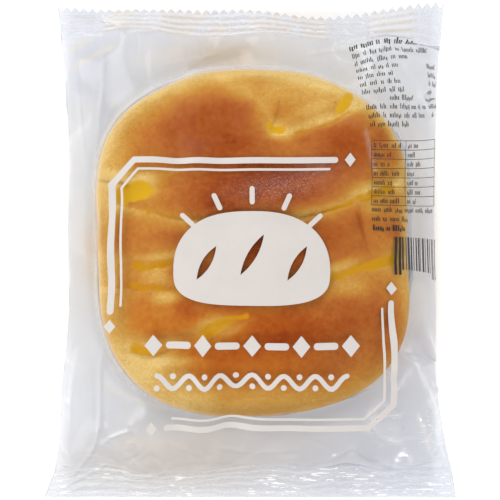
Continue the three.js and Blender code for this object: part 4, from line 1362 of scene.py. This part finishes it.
def make_stage():
    me = bpy.data.meshes.new("floor")
    s = 4.0
    me.from_pydata([(-s, -s, 0), (s, -s, 0), (s, s, 0), (-s, s, 0)], [], [(0, 1, 2, 3)])
    floor = bpy.data.objects.new("floor", me)
    bpy.context.scene.collection.objects.link(floor)
    m = Nodes("floor")
    bsdf = m.new("ShaderNodeBsdfPrincipled")
    bsdf.inputs["Base Color"].default_value = (0.985, 0.985, 0.985, 1)
    bsdf.inputs["Roughness"].default_value = 0.9
    bsdf.inputs["Specular IOR Level"].default_value = 0.1
    # it glows outside the bag's footprint only: painted light that lifts the bag's shadow off the floor round it
    axes = m.new("ShaderNodeSeparateXYZ")
    m.link(m.new("ShaderNodeTexCoord").outputs["Object"], axes.inputs[0])
    beside = m.math("MULTIPLY", m.math("SUBTRACT", m.math("ABSOLUTE", axes.outputs[0]), 0.0635), 250.0, clamp=True)
    beyond = m.math("MULTIPLY", m.math("SUBTRACT", m.math("ABSOLUTE", axes.outputs[1]), 0.0845), 250.0, clamp=True)
    bsdf.inputs["Emission Color"].default_value = (1, 1, 1, 1)
    m.link(m.math("MULTIPLY", m.math("MAXIMUM", beside, beyond), 0.22), bsdf.inputs["Emission Strength"])
    m.link(bsdf.outputs[0], m.out.inputs["Surface"])
    floor.data.materials.append(m.mat)

    def area(name, loc, size, power, target=(0, 0, 0.02), size_y=None):
        ld = bpy.data.lights.new(name, "AREA")
        ld.energy = power
        ld.shape = "RECTANGLE"
        ld.size, ld.size_y = size, size_y or size
        lo = bpy.data.objects.new(name, ld)
        bpy.context.scene.collection.objects.link(lo)
        lo.location = loc
        d = np.array(target) - np.array(loc)
        from mathutils import Vector
        lo.rotation_euler = Vector(d).to_track_quat("-Z", "Y").to_euler()
        return lo

    area("key", (-0.80, 1.15, 1.00), 0.90, 6.8)
    area("fill", (-0.85, -0.95, 1.00), 0.90, 4.2)
    area("glint_far", (0.35, 1.4, 0.9), 0.24, 0.4)
    area("glint_right", (1.2, -0.45, 0.9), 0.10, 0.7)
    area("glint_near", (-0.35, -1.2, 1.1), 0.16, 0.5)
    # a white tent, brighter towards the far end
    world = bpy.data.worlds.new("world")
    bpy.context.scene.world = world
    world.use_nodes = True
    nt = world.node_tree
    bg = nt.nodes["Background"]
    bg.inputs[0].default_value = (1, 1, 1, 1)
    def calc(op, a, b):
        nd = nt.nodes.new("ShaderNodeMath")
        nd.operation = op
        for i, v in enumerate((a, b)):
            if hasattr(v, "links"):
                nt.links.new(v, nd.inputs[i])
            else:
                nd.inputs[i].default_value = v
        return nd.outputs[0]
    tc = nt.nodes.new("ShaderNodeTexCoord")
    xyz = nt.nodes.new("ShaderNodeSeparateXYZ")
    nt.links.new(tc.outputs["Generated"], xyz.inputs[0])
    mr = nt.nodes.new("ShaderNodeMapRange")
    mr.interpolation_type = "SMOOTHSTEP"
    nt.links.new(xyz.outputs["Z"], mr.inputs["Value"])
    mr.inputs["From Min"].default_value = 0.50
    mr.inputs["From Max"].default_value = 0.94
    mr.inputs["To Min"].default_value = 1.0
    mr.inputs["To Max"].default_value = 0.0
    side = calc("MULTIPLY_ADD", xyz.outputs["Y"], TENT_SIDE * TENT_FAR)
    side.node.inputs[2].default_value = TENT_SIDE - TENT_TOP
    nt.links.new(calc("ADD", calc("MULTIPLY", side, mr.outputs[0]), TENT_TOP), bg.inputs[1])

    cd = bpy.data.cameras.new("camera")
    cd.lens, cd.sensor_width = LENS, SENSOR
    cd.clip_start, cd.clip_end = 0.05, 20
    cam = bpy.data.objects.new("camera", cd)
    bpy.context.scene.collection.objects.link(cam)
    cam.location = (0, 0, CAM_Z * MM)
    bpy.context.scene.camera = cam
    bpy.context.scene.view_settings.view_transform = "Standard"


bun = make_bun()
bun.data.materials.append(crust_material())
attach(bun, "root")

film = Film(relax_bag())
bag = make_film(film)
bag.data.materials.append(film_material())
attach(bag, "root")
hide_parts("sealed_bag")

guide = flat_guide(film)
for name, shapes, ink, slot in (
        ("print_white", white_shapes(guide), ink_material("white_ink", srgb(214, 208, 204), srgb(203, 196, 191), 0.30), "white_print"),
        ("print_dark", dark_shapes(guide), ink_material("dark_ink", srgb(18, 12, 9), srgb(34, 26, 22), 0.32), "dark_print")):
    piece = ink_piece(name, film, shapes)
    piece.data.materials.append(ink)
    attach(piece, "root")

make_stage()
